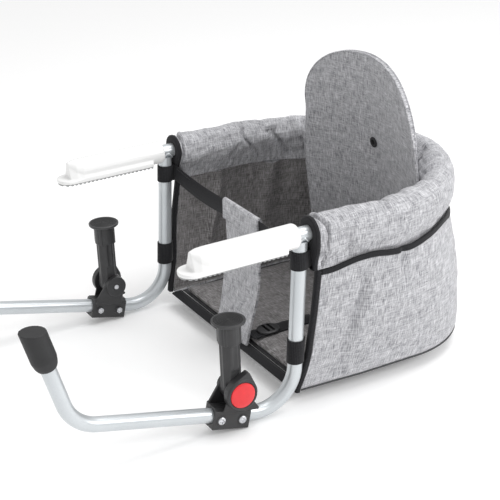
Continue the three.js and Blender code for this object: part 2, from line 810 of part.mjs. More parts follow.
// Support column: a fluted post with a knuckle below and a keyed bore for the spindle
function flutedShape() {
  const steps = fluteCount * 4;
  const outline = Array.from({ length: steps }, (_, i) => {
    const angle = ((i + 0.5) / steps) * 2 * Math.PI;
    const inFlute = i % 4 === 0 || i % 4 === 3;
    const reach = inFlute ? columnRadius - fluteDepth : columnRadius;
    return new THREE.Vector2(Math.cos(angle) * reach, Math.sin(angle) * reach);
  });
  return new THREE.Shape(outline);
}
function keyedShape(clearance) {
  const flat = spindleFlatHalf + clearance;
  const outline = circlePoints(spindleRadius + clearance, boreSides)
    .map((corner) => new THREE.Vector2(THREE.MathUtils.clamp(corner.x, -flat, flat), corner.y));
  return new THREE.Shape(outline);
}
const columnTop = columnTopZ - pivot.z;
const spindleTop = discTopZ - discThickness - pivot.z;
const spindleBottom = spindleTop - spindleLength;
const neckTop = columnTop + neckHeight;
const upright = (shape, low, high) => solid(plate(shape, high - low).translate(columnForward, 0, low));
const onAxis = (z) => point(columnForward, 0, z);
const knuckleHalf = earInnerFace - fitGap;
const knuckle = rod(point(0, -knuckleHalf, 0), point(0, knuckleHalf, 0), knuckleRadius, roundSides);
const flatTop = Math.hypot(earApexBack, earApexRise) + earApexRadius + 4 * fitGap;
const postEnds = box(
  point(columnForward - columnRadius, -knuckleHalf, 0),
  point(columnForward + columnRadius, knuckleHalf, flatTop),
);
const post = upright(flutedShape(), 0, columnTop)
  .intersect(postEnds.add(box(
    point(columnForward - columnRadius, -columnRadius, flatTop),
    point(columnForward + columnRadius, columnRadius, columnTop),
  )));
const gearPocket = lobedShape(gearRadius + gearFitGap, gearLobeDepth);
const column = post
  .add(upright(new THREE.Shape(circlePoints(neckRadius, boreSides)), columnTop - cutOverrun, neckTop))
  .add(knuckle)
  .subtract(upright(keyedShape(fitGap), spindleBottom - fitGap, neckTop + cutOverrun))
  .subtract(bore(point(0, -columnRadius, 0), point(0, columnRadius, 0), pinRadius + fitGap))
  .subtract(bore(point(0, springFloorY, 0), point(0, columnRadius, 0), springRadius + springWire))
  .subtract(solid(standUp(plate(gearPocket, columnRadius), gearPocketFloor, columnRadius)));
addPair('support_column', atPivot(column), blackPlastic);

// Hand collar: a ribbed nut captive on the column's neck, which raises the spindle
function collarShape() {
  const outline = [];
  const halfRib = Math.asin(collarRibWidth / 2 / collarRadius);
  const arcSteps = 5;
  for (let rib = 0; rib < collarRibCount; rib++) {
    const middle = ((rib + 0.5) / collarRibCount) * 2 * Math.PI;
    const next = middle + (2 * Math.PI) / collarRibCount;
    for (const angle of [middle - halfRib, middle + halfRib]) {
      const reach = collarRadius + collarRibHeight;
      outline.push(new THREE.Vector2(Math.cos(angle) * reach, Math.sin(angle) * reach));
    }
    for (let i = 0; i <= arcSteps; i++) {
      const angle = lerp(middle + halfRib, next - halfRib, i / arcSteps);
      outline.push(new THREE.Vector2(Math.cos(angle) * collarRadius, Math.sin(angle) * collarRadius));
    }
  }
  return new THREE.Shape(outline);
}
const collarLow = columnTop + fitGap;
const collarHigh = collarLow + collarHeight;
const collar = upright(collarShape(), collarLow, collarHigh)
  .subtract(bore(onAxis(collarLow - cutOverrun), onAxis(neckTop + fitGap), neckRadius + fitGap))
  .subtract(bore(onAxis(collarLow), onAxis(collarHigh + cutOverrun), spindleRadius + fitGap));
addPair('height_collar', atPivot(collar), blackPlastic);

// Spindle, pressure disc and its rubber pad
const discTop = discTopZ - pivot.z;
const discLow = discTop - discThickness;
const padRecess = discTop - discPadThickness;
const spindle = upright(keyedShape(0), spindleBottom, discLow - fitGap)
  .add(rod(onAxis(discLow - cutOverrun), onAxis(padRecess - fitGap), discStudRadius, smallSides));
addPair('jack_spindle', atPivot(spindle), blackPlastic);
const discProfile = [
  new THREE.Vector2(0, discLow),
  new THREE.Vector2(discRadius * discUndersideShares.radius, discLow),
  new THREE.Vector2(discRadius, discLow + discThickness * discUndersideShares.rise),
  new THREE.Vector2(discRadius, discTop - fitGap),
  new THREE.Vector2(discRadius - discRimWidth, discTop - fitGap),
  new THREE.Vector2(discRadius - discRimWidth, padRecess),
  new THREE.Vector2(0, padRecess),
];
const turnUp = new THREE.Quaternion().setFromUnitVectors(yAxis, zAxis);
const discTurned = new THREE.LatheGeometry(discProfile, roundSides)
  .applyQuaternion(turnUp)
  .translate(columnForward, 0, 0);
const disc = solid(discTurned)
  .subtract(bore(onAxis(discLow - cutOverrun), onAxis(discTop), discStudRadius + fitGap));
addPair('pressure_disc', atPivot(disc), blackPlastic);
const discPad = rod(
  onAxis(padRecess + fitGap),
  onAxis(discTop),
  discRadius - discRimWidth - fitGap,
  roundSides,
);
addPair('disc_pad', atPivot(discPad), blackRubber);

// A sheet between two grids of points: rows run along the bucket's U, columns run down it
function sheet(outer, inner) {
  const rows = outer.length;
  const columns = outer[0].length;
  const positions = [...outer.flat(), ...inner.flat()].flatMap((corner) => corner.toArray());
  const faces = [];
  const quad = (a, b, c, d) => faces.push(a, b, c, a, c, d);
  const out = (row, column) => row * columns + column;
  const back = (row, column) => rows * columns + out(row, column);
  const lastRow = rows - 1;
  const lastColumn = columns - 1;
  for (let row = 0; row < lastRow; row++) {
    for (let column = 0; column < lastColumn; column++) {
      quad(out(row, column), out(row, column + 1), out(row + 1, column + 1), out(row + 1, column));
      quad(back(row, column), back(row + 1, column), back(row + 1, column + 1), back(row, column + 1));
    }
    quad(out(row, 0), out(row + 1, 0), back(row + 1, 0), back(row, 0));
    quad(out(row + 1, lastColumn), out(row, lastColumn), back(row, lastColumn), back(row + 1, lastColumn));
  }
  for (let column = 0; column < lastColumn; column++) {
    quad(out(0, column + 1), out(0, column), back(0, column), back(0, column + 1));
    quad(out(lastRow, column), out(lastRow, column + 1), back(lastRow, column + 1), back(lastRow, column));
  }
  const geometry = new THREE.BufferGeometry();
  geometry.setAttribute('position', new THREE.BufferAttribute(Float32Array.from(positions), 3));
  geometry.setIndex(faces);
  return solid(geometry);
}

// Bucket plan: a U whose half width, depth and corner radius change from the arms to the floor
function bucketPlan(depthShare) {
  const topHalf = armHalfSpacing + bucketTopOffset;
  const halfWidth = lerp(topHalf, bucketBottomHalfWidth, depthShare);
  const corner = lerp(topHalf, bucketBottomCorner, depthShare);
  const depth = lerp(rimDepth + bucketTopOffset, bucketBottomDepth, depthShare);
  return { halfWidth, corner, depth };
}
const levelZ = (depthShare) => lerp(bucketTopZ, bucketFloorZ, depthShare);
const depthShareAt = (z) => THREE.MathUtils.clamp((bucketTopZ - z) / (bucketTopZ - bucketFloorZ), 0, 1);
const frontX = (z) => frontTopX - frontBottomSetback * depthShareAt(z) ** frontCurve;
const wallStart = (z) => frontX(z) + bindingWidth + 2 * fitGap;

// Stations along the U, from the left front edge round the rear to the right front edge
const straightShares = [0, 0.35, 0.7];
const cornerShares = [0, 0.18, 0.36, 0.54, 0.72, 0.9];
function uRow(straights, corners) {
  const left = [
    ...straights.map((straight) => ({ side: -1, straight })),
    ...corners.map((turn) => ({ side: -1, turn })),
  ];
  const right = [...left].reverse().map((station) => ({ ...station, side: 1 }));
  return [...left, { side: 0, turn: 1 }, ...right];
}
const uStations = uRow(straightShares, cornerShares);

// The place and outward direction of a station on the U at one depth
function uPoint(station, plan, startX, z) {
  const cornerX = plan.depth - plan.corner;
  if (station.side === 0) {
    return { at: point(plan.depth, 0, z), out: xAxis.clone() };
  }
  if (station.straight !== undefined) {
    const x = lerp(startX, cornerX, station.straight);
    return { at: point(x, station.side * plan.halfWidth, z), out: point(0, station.side, 0) };
  }
  const angle = (station.turn * Math.PI) / 2;
  const out = point(Math.sin(angle), station.side * Math.cos(angle), 0);
  const centre = point(cornerX, station.side * (plan.halfWidth - plan.corner), z);
  return { at: centre.addScaledVector(out, plan.corner), out };
}

// How far the cloth stands off its plan: it bellies out, is tucked in at the front and folds once a side
function clothPush(x, depthShare) {
  const belly = wallBulge * Math.sin(Math.PI * depthShare);
  const tuck = frontTuck * Math.max(0, 1 - (x - frontTopX) / frontTuckLength);
  const fold = (x - lerp(foldTopX, foldBottomX, depthShare)) / foldWidth;
  const dip = foldDepth * Math.exp(-fold * fold) * Math.sin(Math.PI * depthShare);
  return belly - Math.min(tuck, 2 * frontTuck) - dip;
}
function wallPoint(station, z, offset) {
  const share = depthShareAt(z);
  const place = uPoint(station, bucketPlan(share), wallStart(z), z);
  return place.at.addScaledVector(place.out, offset + clothPush(place.at.x, share));
}

// Bucket wall: the padded cloth that hangs from the arm sleeve and turns under to the floor
const levelShares = [0, 0.17, 0.34, 0.51, 0.68, 0.83, 0.94];
const wallRow = (station, offset) => levelShares.map((share) => wallPoint(station, levelZ(share), offset));
const wallOuter = uStations.map((station) => [
  ...wallRow(station, 0),
  wallPoint(station, bucketFloorZ, -wallThickness / 2),
  wallPoint(station, bucketFloorZ, -wallTurnUnder),
]);
const wallInner = uStations.map((station) => [
  ...wallRow(station, -wallThickness),
  wallPoint(station, bucketFloorZ + floorThickness, -wallSeamInset),
  wallPoint(station, bucketFloorZ + floorThickness, -wallTurnUnder),
]);
addPiece('bucket_wall', sheet(wallOuter, wallInner), melangeFabric);

// Bucket floor: the cloth panel sewn between the turned-under edges
const floorFrontX = frontX(bucketFloorZ);
const floorEdge = wallTurnUnder + 2 * fitGap;
const floorOutline = uStations.map((station) => {
  const place = wallPoint(station, bucketFloorZ, -floorEdge);
  const inBand = station.straight === straightShares[0];
  return new THREE.Vector2(inBand ? floorFrontX + floorBandWidth + fitGap : place.x, place.y);
});
const floorPanel = solid(plate(floorOutline, floorThickness).translate(0, 0, bucketFloorZ));
addPiece('bucket_floor', floorPanel, darkFabric);

// Floor edge band: folded tape along the floor's front edge
const bandHalf = bucketBottomHalfWidth - 2 * frontTuck - floorEdge;
const floorBand = box(
  point(floorFrontX, -bandHalf, bucketFloorZ),
  point(floorFrontX + floorBandWidth, bandHalf, bucketFloorZ + floorThickness),
);
addPiece('floor_edge_band', floorBand, blackWebbing);

// Outer pocket: a second cloth layer outside the wall, sewn in at the front and open along its top
const pocketTopShares = [0.22, 0.83, 1, 0.68, 0.6, 0.52, 0.42, 0.3, 0.16, 0.04];
const pocketTopAt = uStations.map((station, i) => {
  const fromFront = Math.min(i, uStations.length - 1 - i);
  return pocketTopZ - pocketSag * (1 - pocketTopShares[fromFront]);
});
function pocketGap(station, levelShare) {
  const opening = station.straight === undefined ? 1 : Math.min(1, station.straight / straightShares[1]);
  return lerp(pocketMouthGap * opening, 0, Math.min(1, levelShare / pocketOpenShare)) + 2 * fitGap;
}
const pocketLevelShares = [0.17, 0.34, 0.51, 0.68, 0.83, 0.965];
function pocketRow(station, index, offset) {
  const top = wallPoint(station, pocketTopAt[index], pocketGap(station, 0) + offset);
  const lower = pocketLevelShares.map((share) => {
    return wallPoint(station, levelZ(share), pocketGap(station, share) + offset);
  });
  return [top, ...lower];
}
const pocketOuter = uStations.map((station, i) => pocketRow(station, i, pocketThickness));
const pocketInner = uStations.map((station, i) => pocketRow(station, i, 0));
addPiece('outer_pocket', sheet(pocketOuter, pocketInner), melangeFabric);

// Pocket binding: tape along the pocket's top edge
const bindingRow = (offset) => uStations.map((station, i) => {
  const low = wallPoint(station, pocketTopAt[i], pocketGap(station, 0) + offset);
  low.z += fitGap;
  return [low.clone().add(point(0, 0, pocketBindingHeight)), low];
});
const pocketBinding = sheet(bindingRow(pocketBindingThickness), bindingRow(0));
addPiece('pocket_binding', pocketBinding, blackWebbing);

// Front edge bindings: tape down each front edge, over the cut edges of wall and pocket
const edgeFront = { side: -1, straight: 0 };
const edgeOuter = pocketThickness + 2 * fitGap + bindingOverlap;
const edgeRow = (offset, ahead) => [...levelShares, 1].map((share) => {
  const z = levelZ(share);
  const place = wallPoint(edgeFront, z, offset);
  return place.setX(frontX(z) + ahead);
});
const edgeBinding = sheet(
  [edgeRow(edgeOuter, 0), edgeRow(edgeOuter, bindingWidth)],
  [edgeRow(-wallThickness - bindingOverlap, 0), edgeRow(-wallThickness - bindingOverlap, bindingWidth)],
);
addPair('front_edge_binding', edgeBinding, blackWebbing);

// Backrest panel: a bowed padded board with a round top, standing on the seat board
const boardLow = bucketFloorZ + floorThickness + 2 * fitGap;
const backrestLow = boardLow + seatBoardThickness + 2 * fitGap;
const backrestSteps = 16;
const backrestMiddleX = backrestEdgeX + backrestBow;
const backrestLean = Math.tan(radians(backrestLeanDeg));
function backrestRing(index, growth) {
  const acrossShare = -Math.cos((index / backrestSteps) * Math.PI);
  const y = acrossShare * (backrestHalfWidth + growth);
  const x = backrestMiddleX - backrestBow * Math.abs(acrossShare) ** backrestBowPower;
  const lift = Math.max(0, 1 - Math.abs(acrossShare) ** backrestTopPower) ** (1 / backrestTopPower);
  const corner = 1 - Math.min(1, lift / backrestCornerShare);
  const top = backrestShoulderZ + backrestRise * lift + growth;
  const low = backrestLow + backrestCorner * corner;
  const half = lerp(backrestThickness, backrestEdgeThickness, corner) / 2 + growth;
  const leaning = (behind, z) => point(x + behind - z * backrestLean, y, z);
  return [
    leaning(-half, low + half),
    leaning(half, low + half),
    leaning(half, top - half),
    leaning(0, top),
    leaning(-half, top - half),
    leaning(-half, lerp(low, top, 0.5)),
  ];
}
function backrestBody(growth) {
  return loft(Array.from({ length: backrestSteps + 1 }, (_, i) => backrestRing(i, growth)));
}
const backrestBoard = backrestBody(0);

// Arm sleeve: a padded casing gathered round the arm tube, with a skirt down to the bucket wall.
// The backrest's edges leave a dent in it.
const sleeveSectionShares = [
  [0.1, -1], [-0.3, -0.6], [-0.82, -0.22], [-1, 0], [-0.87, 0.5], [-0.5, 0.87], [0, 1],
  [0.5, 0.87], [0.87, 0.5], [1, 0], [0.97, -0.4], [0.7, -0.72], [0.56, -1],
];
function sleeveRing(place, out, gather) {
  return sleeveSectionShares.map(([acrossShare, upShare]) => {
    const swell = 1 + sleeveGatherShare * gather;
    const across = acrossShare * sleeveRadius * swell;
    const up = upShare < 0 ? upShare * sleeveSkirtDrop : upShare * sleeveRadius * swell;
    return place.clone().addScaledVector(out, across).add(point(0, 0, up));
  });
}
const sleeveStraightShares = [0, 0.2, 0.4, 0.6, 0.8];
const sleeveCornerShares = [0, 0.11, 0.22, 0.33, 0.44, 0.55, 0.66, 0.77, 0.89];
const sleeveStations = uRow(sleeveStraightShares, sleeveCornerShares);
const rimPlan = { halfWidth: armHalfSpacing, corner: armHalfSpacing, depth: rimDepth };
const sleeveSolid = loft(sleeveStations.map((station, i) => {
  const place = uPoint(station, rimPlan, sleeveFrontX + fitGap, armHeight);
  return sleeveRing(place.at, place.out, i % 2 === 0 ? 1 : -1);
}));
const facetDepth = tubeRadius * (1 - Math.cos(Math.PI / tubeSides));
const sleeveBore = tubeAlong(rimPath(armReach), tubeRadius + fitGap + facetDepth);
addPiece('arm_sleeve', sleeveSolid.subtract(sleeveBore).subtract(backrestBody(dentGap)), melangeFabric);

// Sleeve end bindings: black tape that closes the padded end round the tube
const endRings = [sleeveFrontX - sleeveEndThickness, sleeveFrontX].map((x) => {
  return sleeveRing(point(x, -armHalfSpacing, armHeight), yAxis.clone().negate(), 1);
});
const endBinding = loft(endRings).subtract(sleeveBore);
addPair('sleeve_end_binding', endBinding, blackWebbing);

// Tube straps: webbing sewn to the bucket's front edge and looped round each leg
const legAt = (z) => point(legX - (armHeight - z) * Math.tan(legLean), -armHalfSpacing, z);
const legUp = point(Math.sin(legLean), 0, Math.cos(legLean));
const strapLoop = (z, height, thickness) => {
  const low = legAt(z).addScaledVector(legUp, -height / 2);
  const high = legAt(z).addScaledVector(legUp, height / 2);
  return { low, high, radius: tubeRadius + 2 * fitGap + thickness };
};
function loopRound(loop, body) {
  const hole = bore(
    loop.low.clone().addScaledVector(legUp, -loop.radius),
    loop.high.clone().addScaledVector(legUp, loop.radius),
    tubeRadius + fitGap,
  );
  return body.add(rod(loop.low, loop.high, loop.radius, roundSides)).subtract(hole);
}
const tubeLoop = strapLoop(tubeStrapZ, tubeStrapHeight, tubeStrapThickness);
const tailHalf = tubeStrapHeight / 2 - fitGap;
const tailOutline = [
  new THREE.Vector2(legAt(tubeStrapZ).x, tubeStrapZ - tailHalf),
  new THREE.Vector2(frontX(tubeStrapZ - tailHalf) - 2 * fitGap, tubeStrapZ - tailHalf),
  new THREE.Vector2(frontX(tubeStrapZ + tailHalf) - 2 * fitGap, tubeStrapZ + tailHalf),
  new THREE.Vector2(legAt(tubeStrapZ).x, tubeStrapZ + tailHalf),
];
const strapTail = earPlate(tailOutline, -armHalfSpacing - tubeStrapThickness / 2, tubeStrapThickness);
addPair('tube_strap', loopRound(tubeLoop, strapTail), blackWebbing);

// Front strap: webbing from leg to leg across the child's front, looped round both legs
const strapCorners = [
  legAt(strapLegZ),
  point(strapCentreX, -crotchTopWidth / 2, strapCentreZ),
  point(strapCentreX, crotchTopWidth / 2, strapCentreZ),
  legAt(strapLegZ).setY(armHalfSpacing),
];
const strapRings = strapCorners.map((corner) => {
  const halfThick = webbingThickness / 2;
  const halfWide = webbingWidth / 2;
  return [[-halfThick, -halfWide], [halfThick, -halfWide], [halfThick, halfWide], [-halfThick, halfWide]]
    .map(([dx, dz]) => corner.clone().add(point(dx, 0, dz)));
});
const strapBand = loft(strapRings);
const frontLoop = strapLoop(strapLegZ, webbingWidth, tubeStrapThickness);
const leftLooped = loopRound(frontLoop, strapBand);
addPiece('front_strap', loopRound(frontLoop, leftLooped.mirror([0, 1, 0])), blackWebbing);

// Crotch panel: cloth folded over the front strap and sewn down to the floor's front edge
const slotHalf = webbingThickness / 2 + fitGap;
const strapTop = strapCentreZ + webbingWidth / 2 + fitGap;
const strapLow = strapCentreZ - webbingWidth / 2 - fitGap;
const crotchFoot = point(floorFrontX + floorBandWidth / 2, 0, boardLow);
const crotchBellyZ = lerp(strapLow, crotchFoot.z, crotchBellyShare);
const crotchOutline = [
  [strapCentreX - slotHalf, strapTop],
  [strapCentreX - slotHalf, strapLow],
  [strapCentreX + slotHalf, strapLow],
  [strapCentreX + slotHalf, strapTop - cutOverrun],
  [strapCentreX + slotHalf + crotchFold, strapTop - cutOverrun],
  [strapCentreX + slotHalf + crotchFold, strapLow - crotchFold],
  [crotchFoot.x + crotchBelly + crotchThickness / 2, crotchBellyZ],
  [crotchFoot.x + crotchThickness / 2, crotchFoot.z],
  [crotchFoot.x - crotchThickness / 2, crotchFoot.z],
  [crotchFoot.x + crotchBelly - crotchThickness / 2, crotchBellyZ],
  [strapCentreX - slotHalf - crotchFold, strapLow - crotchFold],
  [strapCentreX - slotHalf - crotchFold, strapTop + crotchFold],
  [strapCentreX + slotHalf + crotchFold, strapTop + crotchFold],
  [strapCentreX + slotHalf + crotchFold, strapTop],
].map(([x, z]) => new THREE.Vector2(x, z));
const crotchPlate = plate(crotchOutline, crotchTopWidth);
const crotchPanel = solid(standUp(crotchPlate, -crotchTopWidth / 2, crotchTopWidth));
addPiece('crotch_panel', crotchPanel, melangeFabric);

// Seat board: a stiff padded insert on the bucket's floor
function roundedBoard(inset) {
  const half = seatBoardHalfWidth - inset;
  const rear = seatBoardRearX - inset;
  const front = seatBoardFrontX + inset;
  const corner = seatBoardCorner - inset;
  const shape = new THREE.Shape();
  shape.moveTo(front, -half);
  shape.lineTo(rear - corner, -half);
  shape.absarc(rear - corner, -half + corner, corner, -Math.PI / 2, 0, false);
  shape.absarc(rear - corner, half - corner, corner, 0, Math.PI / 2, false);
  shape.lineTo(front, half);
  return shape.extractPoints(smallSides / 2).shape;
}
const boardEdgeShares = [[1, 0], [0, 0.3], [0, 0.75], [1, 1]];
const boardRings = boardEdgeShares.map(([insetShare, riseShare]) => {
  const outline = roundedBoard(insetShare * seatBoardCrown);
  return outline.map((corner) => point(corner.x, corner.y, boardLow + riseShare * seatBoardThickness));
});
addPiece('seat_board', loft(boardRings), darkFabric);

// Backrest eyelet: a black grommet through the panel
const eyeletCentre = point(backrestMiddleX - eyeletZ * backrestLean, 0, eyeletZ);
const eyeletAxis = point(1, 0, backrestLean).normalize();
const eyeletHole = rod(
  eyeletCentre.clone().addScaledVector(eyeletAxis, -backrestThickness),
  eyeletCentre.clone().addScaledVector(eyeletAxis, backrestThickness),
  eyeletRadius - eyeletFlange,
  boreSides,
);
addPiece('backrest_panel', backrestBoard.subtract(eyeletHole), melangeFabric);

const eyeletFront = -backrestThickness / 2 - 3 * fitGap;
const eyeletRear = backrestThickness / 2 + fitGap;
const barrel = eyeletRadius - eyeletFlange - fitGap;
const eyeletProfile = [
  new THREE.Vector2(eyeletBore, eyeletFront - eyeletFlange),
  new THREE.Vector2(eyeletRadius, eyeletFront - eyeletFlange),
  new THREE.Vector2(eyeletRadius, eyeletFront),
  new THREE.Vector2(barrel, eyeletFront),
  new THREE.Vector2(barrel, eyeletRear),
  new THREE.Vector2(eyeletRadius, eyeletRear),
  new THREE.Vector2(eyeletRadius, eyeletRear + eyeletFlange),
  new THREE.Vector2(eyeletBore, eyeletRear + eyeletFlange),
  new THREE.Vector2(eyeletBore, eyeletFront - eyeletFlange),
];
const eyelet = new THREE.LatheGeometry(eyeletProfile, smallSides)
  .applyQuaternion(new THREE.Quaternion().setFromUnitVectors(yAxis, eyeletAxis))
  .translate(eyeletCentre.x, eyeletCentre.y, eyeletCentre.z);
addPiece('backrest_eyelet', solid(eyelet), blackRubber);

// Crotch strap on the seat board, with its adjuster
const harnessLow = boardLow + seatBoardThickness + fitGap;
const harnessStart = seatBoardFrontX - seatBoardCrown;
const harness = box(
  point(harnessStart, harnessY - webbingWidth / 2, harnessLow),
  point(harnessStart + harnessLength, harnessY + webbingWidth / 2, harnessLow + webbingThickness),
);
addPiece('crotch_strap', harness, blackWebbing);
const adjusterLow = harnessLow + webbingThickness + fitGap;
const adjusterShape = new THREE.Shape();
const adjusterEnd = adjusterWidth / 2;
const adjusterBend = (adjusterLength - adjusterWidth) / 2;
adjusterShape.absarc(-adjusterBend, 0, adjusterEnd, Math.PI / 2, 1.5 * Math.PI, false);
adjusterShape.absarc(adjusterBend, 0, adjusterEnd, -Math.PI / 2, Math.PI / 2, false);
const slotBox = (x) => box(
  point(x - adjusterSlot / 2, -adjusterSlotLength / 2, -cutOverrun),
  point(x + adjusterSlot / 2, adjusterSlotLength / 2, adjusterThickness + cutOverrun),
);
const adjuster = solid(plate(adjusterShape, adjusterThickness))
  .subtract(slotBox(-adjusterSlot))
  .subtract(slotBox(adjusterSlot))
  .translate([adjusterX + adjusterLength / 2, harnessY, adjusterLow]);
addPiece('strap_adjuster', adjuster, blackPlastic);

export default part;
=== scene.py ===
# Hook-on table chair, dressed piece by piece in the order in which it is put together.
# Metres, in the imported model's own frame: +X points away from the table, +Z up,
# and the child's left side, nearest the camera, is at -Y.
import json
import math

import bmesh
import bpy
import numpy as np
from mathutils import Matrix, Vector

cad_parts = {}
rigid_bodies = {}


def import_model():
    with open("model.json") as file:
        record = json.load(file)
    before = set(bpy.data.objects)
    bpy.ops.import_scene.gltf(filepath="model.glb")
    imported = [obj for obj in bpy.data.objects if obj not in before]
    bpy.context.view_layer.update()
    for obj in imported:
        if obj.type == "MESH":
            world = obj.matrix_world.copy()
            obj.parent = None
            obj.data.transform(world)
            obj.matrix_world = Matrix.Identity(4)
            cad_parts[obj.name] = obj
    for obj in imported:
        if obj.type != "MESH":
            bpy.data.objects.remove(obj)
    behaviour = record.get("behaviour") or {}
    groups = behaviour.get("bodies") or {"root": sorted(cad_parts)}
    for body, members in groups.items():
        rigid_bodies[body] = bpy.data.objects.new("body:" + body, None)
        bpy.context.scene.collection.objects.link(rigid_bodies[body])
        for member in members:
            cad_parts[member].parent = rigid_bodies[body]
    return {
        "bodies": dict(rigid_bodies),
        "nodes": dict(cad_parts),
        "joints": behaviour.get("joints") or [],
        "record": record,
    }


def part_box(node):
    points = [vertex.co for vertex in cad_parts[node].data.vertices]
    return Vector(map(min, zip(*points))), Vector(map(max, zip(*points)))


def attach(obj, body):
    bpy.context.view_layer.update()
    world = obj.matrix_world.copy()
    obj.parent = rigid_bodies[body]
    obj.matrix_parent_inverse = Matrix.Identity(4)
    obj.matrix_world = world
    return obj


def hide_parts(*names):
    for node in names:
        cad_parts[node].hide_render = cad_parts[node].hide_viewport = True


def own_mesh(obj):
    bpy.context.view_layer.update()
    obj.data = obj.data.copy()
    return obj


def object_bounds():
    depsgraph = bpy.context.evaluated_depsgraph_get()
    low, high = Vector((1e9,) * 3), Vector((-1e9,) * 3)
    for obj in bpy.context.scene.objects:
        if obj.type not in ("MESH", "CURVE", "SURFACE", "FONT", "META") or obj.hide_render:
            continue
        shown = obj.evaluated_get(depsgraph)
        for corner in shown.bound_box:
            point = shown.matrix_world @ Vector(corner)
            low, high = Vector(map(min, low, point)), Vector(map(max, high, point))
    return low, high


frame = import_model()
cad_box = [list(corner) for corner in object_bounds()]
scene = bpy.context.scene


# ---- Camera ---------------------------------------------------------------------------------
# It stands in front of the child's left side, above the table's height, with a long lens, and
# it leans a little to one side as the photograph does.
lens_mm = 97.5
sensor_mm = 36.0
camera_place = Vector((-0.794, -1.551, 0.688))
camera_ahead = Vector((0.4375, 0.8052, -0.4004)).normalized()
camera_right = Vector((0.87, -0.4915, -0.0379))
camera_right = (camera_right - camera_ahead * camera_right.dot(camera_ahead)).normalized()
camera_data = bpy.data.cameras.new("camera")
camera_data.lens = lens_mm
camera_data.sensor_width = sensor_mm
camera_data.clip_start = 0.01
camera = bpy.data.objects.new("camera", camera_data)
scene.collection.objects.link(camera)
camera_turn = Matrix((camera_right, camera_right.cross(camera_ahead), -camera_ahead)).transposed()
camera.matrix_world = Matrix.Translation(camera_place) @ camera_turn.to_4x4()
scene.camera = camera


# ---- Floor and studio light -----------------------------------------------------------------
# A plain pale floor under the tubes, a soft key light from behind the bucket's right, which
# leaves the folds' near flanks in shade, a broad one over it, and a white room that fills in.
floor_half = 6.0
floor_drop = 0.001
light_target = Vector((0.1, 0.0, -0.1))
room_strength = 0.78
white = (1.0, 1.0, 1.0, 1.0)


def add_node(tree, kind, inputs=None, **settings):
    """A node in a tree. A value in inputs is a number or colour, or a socket to link from."""
    node = tree.nodes.new(kind)
    for name, value in settings.items():
        setattr(node, name, value)
    for name, value in (inputs or {}).items():
        socket = node.inputs[name]
        if isinstance(value, bpy.types.NodeSocket):
            tree.links.new(value, socket)
        else:
            socket.default_value = value
    return node


def new_finish(name, **constants):
    """A material with one shader. Each constant goes on the shader's own socket."""
    material = bpy.data.materials.new(name)
    material.use_nodes = True
    tree = material.node_tree
    shader = tree.nodes["Principled BSDF"]
    for socket, value in constants.items():
        shader.inputs[socket.replace("_", " ").title()].default_value = value
    return material, tree, shader


def noise(tree, place, scale, detail=2.0, roughness=0.5):
    return add_node(tree, "ShaderNodeTexNoise", {
        "Vector": place, "Scale": scale, "Detail": detail, "Roughness": roughness}).outputs["Fac"]


def ranged(tree, value, low, high, new_low=0.0, new_high=1.0):
    """A value's range from low to high, stretched to a new one."""
    return add_node(tree, "ShaderNodeMapRange", {
        "Value": value, "From Min": low, "From Max": high, "To Min": new_low, "To Max": new_high,
    }).outputs["Result"]


def reckoned(tree, operation, *values):
    node = add_node(tree, "ShaderNodeMath", dict(enumerate(values)), operation=operation)
    return node.outputs["Value"]


def mixed(tree, share, first, second):
    """A colour between two, each a socket or three numbers."""
    first, second = (c if isinstance(c, bpy.types.NodeSocket) else (*c, 1.0) for c in (first, second))
    return add_node(tree, "ShaderNodeMix", {"Factor": share, "A": first, "B": second},
                    data_type="RGBA").outputs["Result"]


def coloured(tree, shader, colour, height, strength, depth):
    """Gives the shader its colour, and its relief from a height."""
    tree.links.new(colour, shader.inputs["Base Color"])
    bump = add_node(tree, "ShaderNodeBump", {"Height": height, "Strength": strength, "Distance": depth})
    tree.links.new(bump.outputs["Normal"], shader.inputs["Normal"])


def new_piece(name, mesh):
    piece = bpy.data.objects.new(name, mesh)
    scene.collection.objects.link(piece)
    return piece


def aim_area_light(name, place, size, watts):
    light = bpy.data.lights.new(name, "AREA")
    light.shape = "DISK"
    light.size = size
    light.energy = watts
    lamp = new_piece(name, light)
    lamp.location = place
    lamp.rotation_euler = (light_target - Vector(place)).to_track_quat("-Z", "Y").to_euler()


floor_paper, tree, shader = new_finish(
    "floor_paper", roughness=0.9, emission_strength=0.12, emission_color=white)
floor_grain = add_node(tree, "ShaderNodeTexNoise", {"Scale": 3.0, "Detail": 2.0}).outputs["Fac"]
floor_tone = ranged(tree, floor_grain, 0.0, 1.0, 0.97)
tree.links.new(mixed(tree, floor_tone, (0.8, 0.8, 0.8), (0.93, 0.93, 0.93)), shader.inputs["Base Color"])
ground = bpy.data.meshes.new("floor")
floor_corners = [(x * floor_half, y * floor_half, cad_box[0][2] - floor_drop)
                 for x, y in ((-1, -1), (1, -1), (1, 1), (-1, 1))]
ground.from_pydata(floor_corners, [], [(0, 1, 2, 3)])
ground.materials.append(floor_paper)
new_piece("floor", ground)

room = bpy.data.worlds.new("white_room")
room.use_nodes = True
room.node_tree.nodes["Background"].inputs["Color"].default_value = white
room.node_tree.nodes["Background"].inputs["Strength"].default_value = room_strength
scene.world = room
scene.view_settings.view_transform = "Standard"
aim_area_light("key_light", (1.25, -1.6, 1.0), 0.8, 18.0)
aim_area_light("top_light", (0.6, -0.2, 1.7), 1.2, 14.0)


